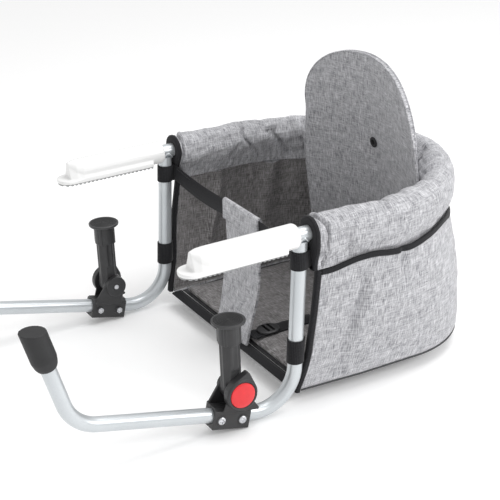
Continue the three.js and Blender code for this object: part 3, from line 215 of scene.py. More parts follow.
# ---- Arm tube and lower tubes ---------------------------------------------------------------
# Round steel tube, bent cold and painted silver. One tube makes both arms and the rim; a lower
# tube is welded under each arm. The weld leaves a rippled bead round the top of the leg.
sides = (("left", -1), ("right", 1))
tube_radius = 0.010
tube_sides = 40
arm_half_spacing = 0.194
arm_height = 0.0165
arm_reach = 0.116
rim_depth = 0.328
leg_x = 0.0165
leg_lean = math.radians(4.1)
run_drop = 0.2485
run_rise = math.radians(13.6)
run_length = 0.319
foot_lean = math.radians(15)
foot_end_z = -0.034
lower_bend = 0.055
bead_radius = 0.0017
bead_steps = 120
bead_sides = 10
bead_ripples = 34
bead_ripple_share = 0.16

silver_paint, tree, shader = new_finish(
    "silver_paint", metallic=0.55, roughness=0.34, coat_weight=0.25, coat_roughness=0.2)


def object_place(tree):
    return add_node(tree, "ShaderNodeTexCoord").outputs["Object"]


place = object_place(tree)
flake = noise(tree, place, 1800.0, 1.0)
cloudy = ranged(tree, reckoned(tree, "ADD", flake, noise(tree, place, 9.0, 3.0)), 0.6, 1.4)
coloured(tree, shader, mixed(tree, cloudy, (0.50, 0.53, 0.55), (0.66, 0.69, 0.71)), flake, 0.08, 0.0002)


def bent_line(corners, radius, step=math.radians(5)):
    """Points along straight lines that are joined by arcs of one radius."""
    corners = [Vector(corner) for corner in corners]
    points = [corners[0]]
    for before, corner, after in zip(corners, corners[1:], corners[2:]):
        into = (corner - before).normalized()
        out = (after - corner).normalized()
        turn = into.angle(out)
        axis = into.cross(out).normalized()
        start = corner - into * radius * math.tan(turn / 2)
        centre = start + axis.cross(into) * radius
        steps = max(2, round(turn / step))
        points += [centre + Matrix.Rotation(turn * k / steps, 3, axis) @ (start - centre)
                   for k in range(steps + 1)]
    return [*points, corners[-1]]


def new_tree(name, **sockets):
    """An empty Geometry Nodes tree with named inputs, and the sockets that give them."""
    tree = bpy.data.node_groups.new(name, "GeometryNodeTree")
    for label, kind in {"Geometry": "Geometry", **sockets}.items():
        tree.interface.new_socket(label, in_out="INPUT", socket_type=f"NodeSocket{kind}")
    tree.interface.new_socket("Geometry", in_out="OUTPUT", socket_type="NodeSocketGeometry")
    return tree, tree.nodes.new("NodeGroupInput").outputs


def round_skin(tree, curve, radius, resolution):
    """A round skin with closed ends along a curve."""
    section = add_node(tree, "GeometryNodeCurvePrimitiveCircle", {
        "Resolution": resolution, "Radius": radius})
    return add_node(tree, "GeometryNodeCurveToMesh", {
        "Curve": curve, "Profile Curve": section.outputs["Curve"], "Fill Caps": True}).outputs["Mesh"]


def end_tree(tree, geometry, material):
    """The tree's end: real geometry with its material."""
    real = add_node(tree, "GeometryNodeRealizeInstances", {"Geometry": geometry}).outputs["Geometry"]
    done = add_node(tree, "GeometryNodeSetMaterial", {"Geometry": real, "Material": material})
    tree.links.new(done.outputs["Geometry"], tree.nodes.new("NodeGroupOutput").inputs["Geometry"])


def made(holder):
    """The mesh that an object's modifiers make, with the object gone."""
    name = holder.name
    mesh = bpy.data.meshes.new_from_object(holder.evaluated_get(bpy.context.evaluated_depsgraph_get()))
    bpy.data.objects.remove(holder)
    mesh.name = name
    return mesh


def grown(name, points, tree, values, closed=False):
    """The mesh that a Geometry Nodes tree makes along a line of points."""
    edges = [(i, i + 1) for i in range(len(points) - 1)]
    if closed:
        edges.append((len(points) - 1, 0))
    line = bpy.data.meshes.new(name)
    line.from_pydata([tuple(p) for p in points], edges, [])
    holder = new_piece(name, line)
    modifier = holder.modifiers.new("grow", "NODES")
    modifier.node_group = tree
    sockets = {item.name: item.identifier for item in tree.interface.items_tree
               if item.in_out == "INPUT"}
    for label, value in values.items():
        modifier[sockets[label]] = value
    return made(holder)


def smooth_all(mesh, sharp_deg=40.0):
    mesh.polygons.foreach_set("use_smooth", [True] * len(mesh.polygons))
    mesh.set_sharp_from_angle(angle=math.radians(sharp_deg))
    return mesh


tube_tree, given = new_tree("bent_tube", Radius="Float", Sides="Int", Paint="Material")
tube_line = add_node(tube_tree, "GeometryNodeMeshToCurve", {"Mesh": given["Geometry"]}).outputs["Curve"]
end_tree(tube_tree, round_skin(tube_tree, tube_line, given["Radius"], given["Sides"]), given["Paint"])


def joined(name, meshes):
    """Several meshes as one, their materials kept."""
    target = bmesh.new()
    finishes = []
    for mesh in meshes:
        finishes += [finish for finish in mesh.materials if finish not in finishes]
        slots = [finishes.index(finish) for finish in mesh.materials]
        first_new = len(target.faces)
        target.from_mesh(mesh)
        target.faces.ensure_lookup_table()
        for face in target.faces[first_new:]:
            face.material_index = slots[face.material_index] if slots else 0
    mesh = bpy.data.meshes.new(name)
    target.to_mesh(mesh)
    target.free()
    for finish in finishes:
        mesh.materials.append(finish)
    return mesh


def fitted(name, mesh, node, body):
    """A mesh as the piece that stands for a CAD node and moves with its body."""
    piece = new_piece(name, mesh)
    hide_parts(node)
    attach(piece, body)
    return piece


def silver_tube(name, line):
    return smooth_all(grown(name, line, tube_tree, {
        "Radius": tube_radius, "Sides": tube_sides, "Paint": silver_paint}))


def weld_bead(leg_top):
    """A rippled round bead where the leg's top meets the arm's underside."""
    line = []
    for k in range(bead_steps):
        angle = 2 * math.pi * k / bead_steps
        across = tube_radius * math.sin(angle)
        down = math.sqrt(tube_radius ** 2 - across ** 2 * 0.97)
        line.append(leg_top + Vector((tube_radius * math.cos(angle), across, -down)))
    points = []
    faces = []
    for k, here in enumerate(line):
        after = (k + 1) % bead_steps
        ahead = (line[after] - line[k - 1]).normalized()
        outward = here - leg_top
        outward = (outward - ahead * outward.dot(ahead)).normalized()
        other = ahead.cross(outward)
        ripple = math.sin(bead_ripples * 2 * math.pi * k / bead_steps)
        swell = bead_radius * (1 + bead_ripple_share * ripple)
        for i in range(bead_sides):
            around = 2 * math.pi * i / bead_sides
            beside = (i + 1) % bead_sides
            points.append(tuple(here + (outward * math.cos(around) + other * math.sin(around)) * swell))
            faces.append((k * bead_sides + i, after * bead_sides + i,
                          after * bead_sides + beside, k * bead_sides + beside))
    bead = bpy.data.meshes.new("weld_bead")
    bead.from_pydata(points, [], faces)
    bead.materials.append(silver_paint)
    return smooth_all(bead, 180)


rim_line = bent_line([
    (-arm_reach, arm_half_spacing, arm_height), (rim_depth, arm_half_spacing, arm_height),
    (rim_depth, -arm_half_spacing, arm_height), (-arm_reach, -arm_half_spacing, arm_height),
], arm_half_spacing, math.radians(3))
fitted("arm_tube", silver_tube("arm_tube", rim_line), "rim_tube", "frame")

run_direction = Vector((-math.cos(run_rise), 0.0, math.sin(run_rise)))
foot_direction = Vector((-math.sin(foot_lean), 0.0, math.cos(foot_lean)))


def run_rear(side):
    """Where the leg's axis meets the run's."""
    rear_x = leg_x - run_drop * math.tan(leg_lean)
    return Vector((rear_x, side * arm_half_spacing, arm_height - run_drop))


for side_name, side in sides:
    leg_top = Vector((leg_x, side * arm_half_spacing, arm_height))
    leg_start = leg_top - Vector((math.sin(leg_lean), 0, math.cos(leg_lean))) * tube_radius * 0.8
    run_front = run_rear(side) + run_direction * run_length
    foot_end = run_front + foot_direction * (foot_end_z - run_front.z) / foot_direction.z
    lower_line = bent_line([leg_start, run_rear(side), run_front, foot_end], lower_bend)
    lower_parts = [silver_tube("lower_tube", lower_line), weld_bead(leg_top)]
    fitted(f"lower_tube_shaped_{side_name}", joined("lower_tube", lower_parts),
           f"lower_tube_{side_name}", "frame")


# ---- Table grips ----------------------------------------------------------------------------
# Glossy white plastic boots on the arms' ends. They are moulded in one, so every edge is
# rounded, and a ribbed grey rubber sole is glued under each one and bears on the table top.
grip_voxel = 0.0009

white_plastic, tree, shader = new_finish(
    "white_plastic", roughness=0.2, coat_weight=0.35, coat_roughness=0.08)
place = object_place(tree)
colour = mixed(tree, noise(tree, place, 14.0, 3.0), (0.84, 0.84, 0.83), (0.90, 0.90, 0.90))
coloured(tree, shader, colour, noise(tree, place, 260.0, 1.0), 0.05, 0.0004)


def speckled_finish(name, dark, light, roughness, grain_scale, grain_depth):
    """Rubber or textured plastic: a cloudy colour with fine grain, and a painted highlight along its
    sharp edges.
    """
    material, tree, shader = new_finish(name, roughness=roughness)
    place = object_place(tree)
    # Pointiness lightens the colour along convex edges: a painted highlight.
    edge_highlight_pointiness = add_node(tree, "ShaderNodeNewGeometry").outputs["Pointiness"]
    tone = reckoned(tree, "MULTIPLY_ADD", noise(tree, place, 45.0, 4.0), 0.45,
                    ranged(tree, edge_highlight_pointiness, 0.52, 0.62, 0.0, 0.55))
    grain = noise(tree, place, grain_scale)
    coloured(tree, shader, mixed(tree, tone, dark, light), grain, 0.35, grain_depth)
    return material


pad_rubber = speckled_finish("pad_rubber", (0.30, 0.31, 0.31), (0.46, 0.46, 0.46), 0.8, 900.0, 0.0002)


def moulded(node, voxel, rounds, finish):
    """A copy of a CAD node as one skin of small faces, its edges eased as moulding leaves them."""
    shape = bmesh.new()
    shape.from_mesh(frame["nodes"][node].data)
    bmesh.ops.remove_doubles(shape, verts=shape.verts, dist=2e-5)
    mesh = bpy.data.meshes.new(node)
    shape.to_mesh(mesh)
    shape.free()
    holder = new_piece(f"{node}_skin", mesh)
    remesh = holder.modifiers.new("skin", "REMESH")
    remesh.mode = "VOXEL"
    remesh.voxel_size = voxel
    ease = holder.modifiers.new("ease", "SMOOTH")
    ease.factor = 0.5
    ease.iterations = rounds
    mesh = made(holder)
    mesh.materials.clear()
    mesh.materials.append(finish)
    return smooth_all(mesh, 60.0)


for side_name, _ in sides:
    boot = moulded(f"table_grip_{side_name}", grip_voxel, 4, white_plastic)
    fitted(f"grip_boot_{side_name}", boot, f"table_grip_{side_name}", "frame")
    sole = moulded(f"grip_pad_{side_name}", grip_voxel * 0.6, 1, pad_rubber)
    fitted(f"grip_sole_{side_name}", sole, f"grip_pad_{side_name}", "frame")


# ---- Foot caps ------------------------------------------------------------------------------
# Black rubber bowls, pushed over the turned-up ends of the lower tubes. Their cut tops bear on
# the table's underside.
cap_voxel = 0.001

black_rubber = speckled_finish(
    "black_rubber", (0.010, 0.010, 0.011), (0.045, 0.045, 0.047), 0.62, 700.0, 0.0003)
for side_name, _ in sides:
    cap = moulded(f"foot_cap_{side_name}", cap_voxel, 5, black_rubber)
    fitted(f"foot_bowl_{side_name}", cap, f"foot_cap_{side_name}", "frame")


# ---- Clamps ---------------------------------------------------------------------------------
# Two black plastic halves close round each run and are drawn together by two zinc-plated bolts.
# An ear on each half carries the column's pivot; the outer ear holds the red button in its ring.
clamp_x = -0.091
clamp_pivot_height = 0.0365
clamp_pivot_back = 0.003
clamp_voxel = 0.0007
block_half_width = 0.013
screw_spacing = 0.031
screw_offset = -0.0026
screw_radius = 0.0025
screw_end = 0.0043
screw_head_radius = 0.0055
screw_head_height = 0.0024
recess_wall = 0.0014
recess_height = 0.0016
recess_sink = 0.0006
fit_gap = 0.0003

black_plastic = speckled_finish(
    "black_plastic", (0.014, 0.014, 0.015), (0.075, 0.075, 0.078), 0.42, 2200.0, 0.00012)
zinc_steel, tree, shader = new_finish("zinc_steel", metallic=0.95, roughness=0.3)
spangle = add_node(tree, "ShaderNodeTexVoronoi", {
    "Vector": object_place(tree), "Scale": 900.0}).outputs["Distance"]
colour = mixed(tree, spangle, (0.72, 0.73, 0.75), (0.56, 0.57, 0.60))
coloured(tree, shader, colour, spangle, 0.15, 0.0001)


def turned(name, profile, steps=48, finish=None):
    """A body turned about local Z through (radius, height) corners, from its lowest to its top."""
    corners = []
    faces = []
    starts = []
    for radius, height in profile:
        starts.append(len(corners))
        for k in range(steps if radius > 1e-7 else 1):
            angle = 2 * math.pi * k / steps
            corners.append((radius * math.cos(angle), radius * math.sin(angle), height))
    for (low_r, _), (high_r, _), low, high in zip(profile, profile[1:], starts, starts[1:]):
        for k in range(steps):
            after = (k + 1) % steps
            if low_r < 1e-7:
                faces.append((low, high + after, high + k))
            elif high_r < 1e-7:
                faces.append((low + k, low + after, high))
            else:
                faces.append((low + k, low + after, high + after, high + k))
    mesh = bpy.data.meshes.new(name)
    mesh.from_pydata(corners, [], faces)
    if finish is not None:
        mesh.materials.append(finish)
    return smooth_all(mesh, 28.0)


def placed(mesh, matrix):
    """The mesh with its place in it, right side out even where the place is mirrored."""
    mesh.transform(matrix)
    if matrix.determinant() < 0:
        mesh.flip_normals()
    return mesh


def cut_away(name, mesh, cutter):
    """The mesh less the cutter."""
    holder = new_piece(name, mesh)
    tool = new_piece("cutter", cutter)
    modifier = holder.modifiers.new("cut", "BOOLEAN")
    modifier.object = tool
    modifier.operation = "DIFFERENCE"
    modifier.solver = "EXACT"
    result = made(holder)
    bpy.data.objects.remove(tool)
    return result


def block_mesh(low, high):
    shape = bmesh.new()
    bmesh.ops.create_cube(shape, size=1.0)
    size = Vector(high) - Vector(low)
    middle = (Vector(high) + Vector(low)) / 2
    for vertex in shape.verts:
        vertex.co = Vector(a * b for a, b in zip(vertex.co, size)) + middle
    mesh = bpy.data.meshes.new("block")
    shape.to_mesh(mesh)
    shape.free()
    return mesh


def axes(x_axis, y_axis, z_axis, origin):
    turn = Matrix((Vector(x_axis), Vector(y_axis), Vector(z_axis))).transposed()
    return Matrix.Translation(origin) @ turn.to_4x4()


clamp_up = Vector((math.sin(run_rise), 0.0, math.cos(run_rise)))


def clamp_seat(side):
    """The middle of the clamp on the run's axis."""
    rear = run_rear(side)
    reach = (rear.x - (clamp_x - clamp_pivot_height * clamp_up.x)) / math.cos(run_rise)
    return rear + run_direction * reach


head_seat = block_half_width + fit_gap
bolt_profile = [
    (0.0, -block_half_width - screw_end), (screw_radius - 0.0003, -block_half_width - screw_end),
    (screw_radius, -block_half_width - screw_end + 0.0005), (screw_radius, head_seat),
    *((screw_head_radius * across, head_seat + screw_head_height * up) for across, up in (
        (0.96, 0), (1, 0.12), (0.97, 0.45), (0.86, 0.72), (0.62, 0.92), (0.3, 1), (0, 1))),
]
recess_inner = screw_head_radius + fit_gap
recess_outer = screw_head_radius + recess_wall
recess_top = block_half_width + recess_height
recess_profile = [
    (recess_inner, block_half_width - recess_sink),
    (recess_outer + 0.0006, block_half_width - recess_sink),
    (recess_outer, block_half_width + recess_height * 0.7),
    (screw_head_radius + recess_wall * 0.6, recess_top), (recess_inner + 0.0002, recess_top),
    (recess_inner, recess_top - 0.0002), (recess_inner, block_half_width - recess_sink),
]
cross_long, cross_wide = screw_head_radius * 0.62, screw_head_radius * 0.13
cross_low, cross_high = head_seat + 0.0009, head_seat + 0.006
for side_name, side in sides:
    rings = []
    for place_name, along in (("rear", -screw_spacing / 2), ("front", screw_spacing / 2)):
        at_screw = clamp_seat(side) + run_direction * along + clamp_up * screw_offset
        screw_place = axes(run_direction, clamp_up * -side, (0.0, side, 0.0), at_screw)
        bolt = turned("bolt", bolt_profile, 40, zinc_steel)
        for wide, tall in ((cross_long, cross_wide), (cross_wide, cross_long)):
            cross = block_mesh((-wide, -tall, cross_low), (wide, tall, cross_high))
            bolt = cut_away("bolt", bolt, cross)
        fitted(f"zinc_bolt_{place_name}_{side_name}", smooth_all(placed(bolt, screw_place), 28.0),
               f"clamp_bolt_{place_name}_{side_name}", "frame")
        ring = placed(turned("recess", recess_profile, 40, black_plastic), screw_place)
        rings.append(smooth_all(ring, 50.0))
    outer, inner = (moulded(f"clamp_{half}_half_{side_name}", clamp_voxel, 2, black_plastic)
                    for half in ("outer", "inner"))
    fitted(f"outer_half_{side_name}", joined("outer_half", [outer, *rings]),
           f"clamp_outer_half_{side_name}", "frame")
    fitted(f"inner_half_{side_name}", inner, f"clamp_inner_half_{side_name}", "frame")
    for name in ("clamp_nut_rear", "clamp_nut_front", "pivot_pin", "lock_gear"):
        for holder in frame["nodes"][f"{name}_{side_name}"].material_slots:
            holder.link = "OBJECT"
            holder.material = zinc_steel


# ---- Folding columns ------------------------------------------------------------------------
# Fluted black plastic posts, each on its pivot between the ears. The post's knuckle holds the
# lock gear and its spring, and the red button in the outer ear pushes the gear out of the ear.
column_forward = 0.004
column_voxel = 0.0007
button_radius = 0.0175
button_face = 0.026
button_stem_radius = 0.0055
button_under = 0.0196
ear_outer_face = 0.024
gear_low = 0.0086
gear_top = 0.0146
gear_radius = 0.009
gear_side_gap = 0.00036
gear_pocket_floor = 0.0043
spring_radius = 0.006
spring_wire = 0.0012
spring_turns = 5.0
spring_low = -0.0031
spring_high = 0.0077

red_plastic, tree, shader = new_finish(
    "red_plastic", roughness=0.3, coat_weight=0.4, coat_roughness=0.12)
place = object_place(tree)
colour = mixed(tree, noise(tree, place, 120.0, 3.0), (0.64, 0.008, 0.014), (0.82, 0.016, 0.024))
coloured(tree, shader, colour, noise(tree, place, 500.0), 0.06, 0.0003)

button_profile = [
    (0.0, gear_top + fit_gap), (button_stem_radius, gear_top + fit_gap),
    (button_stem_radius, button_under),
    (button_radius - 0.0004, button_under), (button_radius, button_under + 0.0004),
    (button_radius, ear_outer_face - 0.0006), (button_radius - 0.0003, ear_outer_face - 0.0001),
    (button_radius - 0.0010, ear_outer_face + 0.0003), (button_radius * 0.86, ear_outer_face + 0.0007),
    (button_radius * 0.72, ear_outer_face + 0.0012), (button_radius * 0.5, ear_outer_face + 0.00165),
    (button_radius * 0.25, button_face - 0.0001), (0.0, button_face),
]

coil_tree, given = new_tree(
    "coil_spring", Turns="Float", Radius="Float", Height="Float", Wire="Float", Steel="Material")
coil_line = add_node(coil_tree, "GeometryNodeCurveSpiral", {
    "Resolution": 28, "Rotations": given["Turns"], "Start Radius": given["Radius"],
    "End Radius": given["Radius"], "Height": given["Height"]}).outputs["Curve"]
end_tree(coil_tree, round_skin(coil_tree, coil_line, given["Wire"], 10), given["Steel"])


def clamp_pivot(side):
    return clamp_seat(side) + clamp_up * clamp_pivot_height - run_direction * clamp_pivot_back


def sharp_pocket(post, gear, place):
    """The post with the lobed pocket cut anew after the easing, so that the gear slides in it."""
    cutter = gear.copy()
    cutter.transform(place.inverted())
    for vertex in cutter.vertices:
        vertex.co.x *= 1 + gear_side_gap / gear_radius
        vertex.co.y *= 1 + gear_side_gap / gear_radius
        is_low = vertex.co.z < (gear_low + gear_top) / 2
        vertex.co.z = gear_pocket_floor if is_low else ear_outer_face
    cutter.transform(place)
    cutter.materials.clear()
    return smooth_all(cut_away("fluted_post", post, cutter), 40.0)


for side_name, side in sides:
    column = f"column_{side_name}"
    outward_place = axes((-1, 0, 0), (0, 0, side), (0, side, 0), clamp_pivot(side))
    button = placed(turned("button", button_profile, 72, red_plastic), outward_place)
    fitted(f"red_button_{side_name}", button, f"release_button_{side_name}", f"button_{side_name}")
    coil = grown("coil", [(0, 0, 0), (0, 0, 1)], coil_tree, {
        "Turns": spring_turns, "Radius": spring_radius, "Height": spring_high - spring_low,
        "Wire": spring_wire / 2, "Steel": zinc_steel})
    coil = smooth_all(placed(coil, outward_place @ Matrix.Translation((0, 0, spring_low))), 60.0)
    coil_piece = fitted(f"coil_spring_{side_name}", coil, f"button_spring_{side_name}", column)
    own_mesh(coil_piece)
    post = moulded(f"support_column_{side_name}", column_voxel, 2, black_plastic)
    post = sharp_pocket(post, frame["nodes"][f"lock_gear_{side_name}"].data, outward_place)
    fitted(f"fluted_post_{side_name}", post, f"support_column_{side_name}", column)


# ---- Screw jacks ----------------------------------------------------------------------------
# A ribbed hand nut sits captive on each post's neck. Turning it drives a coarse plastic screw
# with two flats up or down, and with it the round foot and its rubber face under the table.
nut_voxel = 0.0006
disc_top_z = -0.073
disc_radius = 0.0222
disc_low = disc_top_z - 0.005
disc_bore = 0.0053
disc_rim = 0.003
disc_pad_thickness = 0.0024
pad_grooves = 5
pad_groove_half = 0.0007
pad_groove_depth = 0.0006
spindle_radius = 0.008
spindle_flat_half = 0.0064
spindle_length = 0.070
spindle_steps = 56
spindle_row = 0.0005
stud_radius = 0.005
stud_drop = 0.002
thread_pitch = 0.005
thread_depth = 0.0012

pad_low = disc_top_z - disc_pad_thickness
pad_edge = disc_radius - disc_rim - fit_gap
pad_profile = [(0.0, pad_low + fit_gap), (pad_edge, pad_low + fit_gap), (pad_edge, disc_top_z - 0.0004),
               (pad_edge - 0.0004, disc_top_z)]
for groove in range(pad_grooves):
    middle = pad_edge * (0.84 - 0.16 * groove)
    pad_profile += [(middle + pad_groove_half, disc_top_z), (middle, disc_top_z - pad_groove_depth),
                    (middle - pad_groove_half, disc_top_z)]
pad_profile.append((0.0, disc_top_z))
disc_profile = [
    (disc_bore, disc_low), (disc_radius * 0.86, disc_low), (disc_radius * 0.95, disc_low + 0.0006),
    (disc_radius * 0.99, disc_low + 0.0014), (disc_radius, disc_low + 0.0022),
    (disc_radius, disc_top_z - 0.0009), (disc_radius - 0.0006, disc_top_z - fit_gap),
    (disc_radius - disc_rim + 0.0004, disc_top_z - fit_gap),
    (disc_radius - disc_rim, disc_top_z - 0.0007),
    (disc_radius - disc_rim, pad_low), (disc_bore, pad_low), (disc_bore, disc_low),
]
stud_profile = [(0.0, disc_low - stud_drop), (stud_radius, disc_low - stud_drop),
                (stud_radius, pad_low - fit_gap), (0.0, pad_low - fit_gap)]


def threaded_spindle(low, high, finish):
    """A coarse thread round a rod, cut by two flats."""
    around = spindle_steps
    rows = int((high - low) / spindle_row)
    corners = []
    for row in range(rows + 1):
        height = low + (high - low) * row / rows
        for k in range(around):
            angle = 2 * math.pi * k / around
            phase = (height / thread_pitch - k / around) % 1.0
            crest = min(1.0, max(0.0, 2.2 - abs(phase - 0.5) * 6.5))
            reach = spindle_radius - thread_depth * (1.0 - crest)
            x = max(-spindle_flat_half, min(spindle_flat_half, reach * math.cos(angle)))
            corners.append((x, reach * math.sin(angle), height))
    faces = []
    for start in range(0, rows * around, around):
        for k in range(around):
            after = (k + 1) % around
            faces.append((start + k, start + after, start + around + after, start + around + k))
    faces.append(tuple(range(around - 1, -1, -1)))
    faces.append(tuple(rows * around + k for k in range(around)))
    mesh = bpy.data.meshes.new("screw")
    mesh.from_pydata(corners, [], faces)
    mesh.materials.append(finish)
    return smooth_all(mesh, 35.0)


for side_name, side in sides:
    pivot = clamp_pivot(side)
    jack_axis = Matrix.Translation((pivot.x - column_forward, pivot.y, 0.0))
    collar = moulded(f"height_collar_{side_name}", nut_voxel, 2, black_plastic)
    fitted(f"hand_nut_{side_name}", collar, f"height_collar_{side_name}", f"collar_{side_name}")
    screw = threaded_spindle(disc_low - fit_gap - spindle_length, disc_low - fit_gap, black_plastic)
    screw = joined("jack_screw", [screw, turned("stud", stud_profile, 32, black_plastic)])
    foot = turned("round_foot", disc_profile, 72, black_plastic)
    face = turned("foot_face", pad_profile, 72, black_rubber)
    for name, mesh, node, slot in (("jack_screw", screw, "jack_spindle", "black_plastic"),
                                   ("round_foot", foot, "pressure_disc", "black_plastic"),
                                   ("foot_face", face, "disc_pad", "black_rubber")):
        fitted(f"{name}_{side_name}", placed(mesh, jack_axis), f"{node}_{side_name}",
               f"jack_{side_name}")


# ---- Bucket wall ----------------------------------------------------------------------------
# Two layers of grey melange cloth, lightly padded between, hang from the arm sleeve in a U and
# turn under to the floor. The cloth is gathered where it meets the sleeve, so soft folds fall
# from the seam on the inside.
bucket_top_z = -0.0342
bucket_floor_z = -0.211
bucket_top_offset = 0.0115
bucket_bottom_half = 0.195
bucket_bottom_depth = 0.330
bucket_bottom_corner = 0.130
wall_thickness = 0.004
wall_bulge = 0.0065
wall_turn_under = 0.012
front_line = [(-0.211, 0.003), (-0.184, 0.0110), (-0.157, 0.0178), (-0.1335, 0.0200),
              (-0.102, 0.0238), (-0.071, 0.0285), (-0.034, 0.0345)]
front_top_x = 0.0345
front_tuck = 0.004
front_tuck_length = 0.070
binding_width = 0.007
cloth_gap = 0.0006
main_fold_top_x = 0.108
main_fold_bottom_x = 0.056
main_fold_width = 0.012
main_fold_depth = 0.0110
small_fold_x = 0.164
small_fold_z = -0.055
small_fold_height = 0.022
small_fold_depth = 0.0065
wall_unevenness = 0.0016
lining_unevenness = 0.0008
floor_edge_offset = -0.0126
inner_gathers = [(0.14, 0.0080, 0.012), (0.345, 0.0140, 0.014), (0.55, 0.0110, 0.013),
                 (0.74, 0.007, 0.014), (0.92, 0.006, 0.014)]
wall_columns = 300
wall_rows = 44
drift_waves = 7
cloth_relief = 0.00035


def cloth_place(tree):
    return add_node(tree, "ShaderNodeUVMap", uv_map="cloth").outputs["UV"]


def cloth_finish(name, dark, middle, light, yarn=0.0008, slub=0.012):
    """Melange cloth: long dark and pale slubs both ways of the weave, on the piece's own UV map."""
    material, tree, shader = new_finish(name, roughness=0.92, sheen_weight=0.12, sheen_roughness=0.5)
    place = cloth_place(tree)

    def streaks(across, along, shift, detail, roughness=0.5):
        stretched = add_node(tree, "ShaderNodeMapping", {
            "Vector": place, "Scale": (across, along, 1.0), "Location": shift})
        return noise(tree, stretched.outputs["Vector"], 1.0, detail, roughness)

    warp = streaks(1 / yarn, 1 / slub, (3.1, 3.1, 3.1), 3.0, 0.62)
    weft = streaks(1 / slub, 1 / yarn, (8.7, 8.7, 8.7), 3.0, 0.62)
    both = reckoned(tree, "MULTIPLY_ADD", weft, 0.38, reckoned(tree, "MULTIPLY", warp, 0.62))
    tone = reckoned(tree, "MULTIPLY_ADD", noise(tree, place, 60.0, 4.0), 0.12, both)
    ramp = add_node(tree, "ShaderNodeValToRGB", {"Fac": ranged(tree, tone, 0.42, 0.68)})
    ramp.color_ramp.elements[0].color = (*dark, 1.0)
    ramp.color_ramp.elements[1].color = (*light, 1.0)
    ramp.color_ramp.elements.new(0.5).color = (*middle, 1.0)
    colour = ramp.outputs["Color"]
    for across, along, shift, ends in ((1150.0, 42.0, 21.7, light), (34.0, 1100.0, 5.2, light),
                                       (1300.0, 60.0, 47.3, dark)):
        rare = streaks(across, along, (shift, shift, 0.0), 1.0)
        colour = mixed(tree, ranged(tree, rare, 0.60, 0.72, 0.0, 0.7), colour, ends)
    threads = []
    for axis in ((1.0, 0.0, 0.0), (0.0, 1.0, 0.0)):
        gone = add_node(tree, "ShaderNodeVectorMath", {0: place, 1: axis}, operation="DOT_PRODUCT")
        phase = reckoned(tree, "MULTIPLY", gone.outputs["Value"], 2 * math.pi / yarn)
        threads.append(reckoned(tree, "SINE", phase))
    raised = reckoned(tree, "MULTIPLY_ADD", reckoned(tree, "MULTIPLY", *threads), 0.25, both)
    coloured(tree, shader, colour, raised, 0.6, cloth_relief)
    return material


melange_cloth = cloth_finish("melange_cloth", (0.12, 0.12, 0.13), (0.37, 0.37, 0.39), (0.68, 0.68, 0.70))
# The wall's inner face and the seat pad take this darker, browner melange; the darkening is painted
# shade for the dim inside of the bucket.
shaded_inside_cloth = cloth_finish(
    "shaded_inside_cloth", (0.060, 0.056, 0.056), (0.170, 0.161, 0.161), (0.36, 0.35, 0.35))


def plan_line(s, share, start_x):
    """Points and outward directions on the bucket's U. s runs from -1, the left front edge, to 1."""
    top_half = arm_half_spacing + bucket_top_offset
    half = top_half + (bucket_bottom_half - top_half) * share
    corner = top_half + (bucket_bottom_corner - top_half) * share
    depth = rim_depth + bucket_top_offset
    depth = depth + (bucket_bottom_depth - depth) * share
    straight = depth - corner - start_x
    arc = corner * math.pi / 2
    gone = (1 - np.abs(s)) * (straight + arc + half - corner)
    turn = np.clip((gone - straight) / corner, 0, math.pi / 2)
    past = np.maximum(gone - straight - arc, 0)
    x = np.where(gone < straight, start_x + gone, depth - corner + corner * np.sin(turn))
    y = half - corner + corner * np.cos(turn) - past
    side = np.where(s < 0, -1.0, 1.0)
    place = np.stack([x, y * side], -1)
    out = np.stack([np.sin(turn), np.cos(turn) * side], -1)
    return place, out, gone * side


def drift(u, v, seed, reach):
    """A slow, fixed unevenness between about -1 and 1, from a few waves in different directions."""
    chance = np.random.default_rng(seed)
    total = 0.0
    for _ in range(drift_waves):
        angle, phase = chance.uniform(0, 2 * math.pi, 2)
        pace = 2 * math.pi / (reach * chance.uniform(0.6, 1.6))
        total = total + np.sin((u * math.cos(angle) + v * math.sin(angle)) * pace + phase)
    return total / (drift_waves * 0.6)


def front_x(z):
    """Where the wall's front edge is at a height; it keeps just behind the leg."""
    heights, places = zip(*front_line)
    return sum(np.interp(z + shift, heights, places) for shift in np.linspace(-0.012, 0.012, 7)) / 7


def wall_places(s, z, offset):
    """The wall's places at s and z, moved out by offset, with its belly, tuck and folds."""
    share = np.clip((bucket_top_z - z) / (bucket_top_z - bucket_floor_z), 0, 1)
    place, out, along = plan_line(s, share, front_x(z) + binding_width + cloth_gap)
    x = place[..., 0]
    belly = wall_bulge * np.sin(math.pi * share)
    tuck = np.clip(1 - (x - front_top_x) / front_tuck_length, 0, 2) * front_tuck
    fold_x = main_fold_top_x + (main_fold_bottom_x - main_fold_top_x) * share ** 1.2
    beside = (x - fold_x) / main_fold_width
    sharper = np.where(beside > 0, 0.95, 0.30)
    fading = np.sin(math.pi * np.clip(share * 1.02, 0, 1)) ** 0.7
    fold = main_fold_depth * np.exp(-(beside / sharper) ** 2) * fading
    past = x - small_fold_x
    flank = np.where(past > 0, 0.007, 0.003)
    level = (z - small_fold_z) / small_fold_height
    short = small_fold_depth * np.exp(-(past / flank) ** 2) * np.exp(-level ** 2)
    slow = wall_unevenness * drift(along, z, 11, 0.11) * np.sin(math.pi * share)
    push = offset + belly - tuck - fold - short + slow
    return np.concatenate([place + out * push[..., None], z[..., None]], -1), along


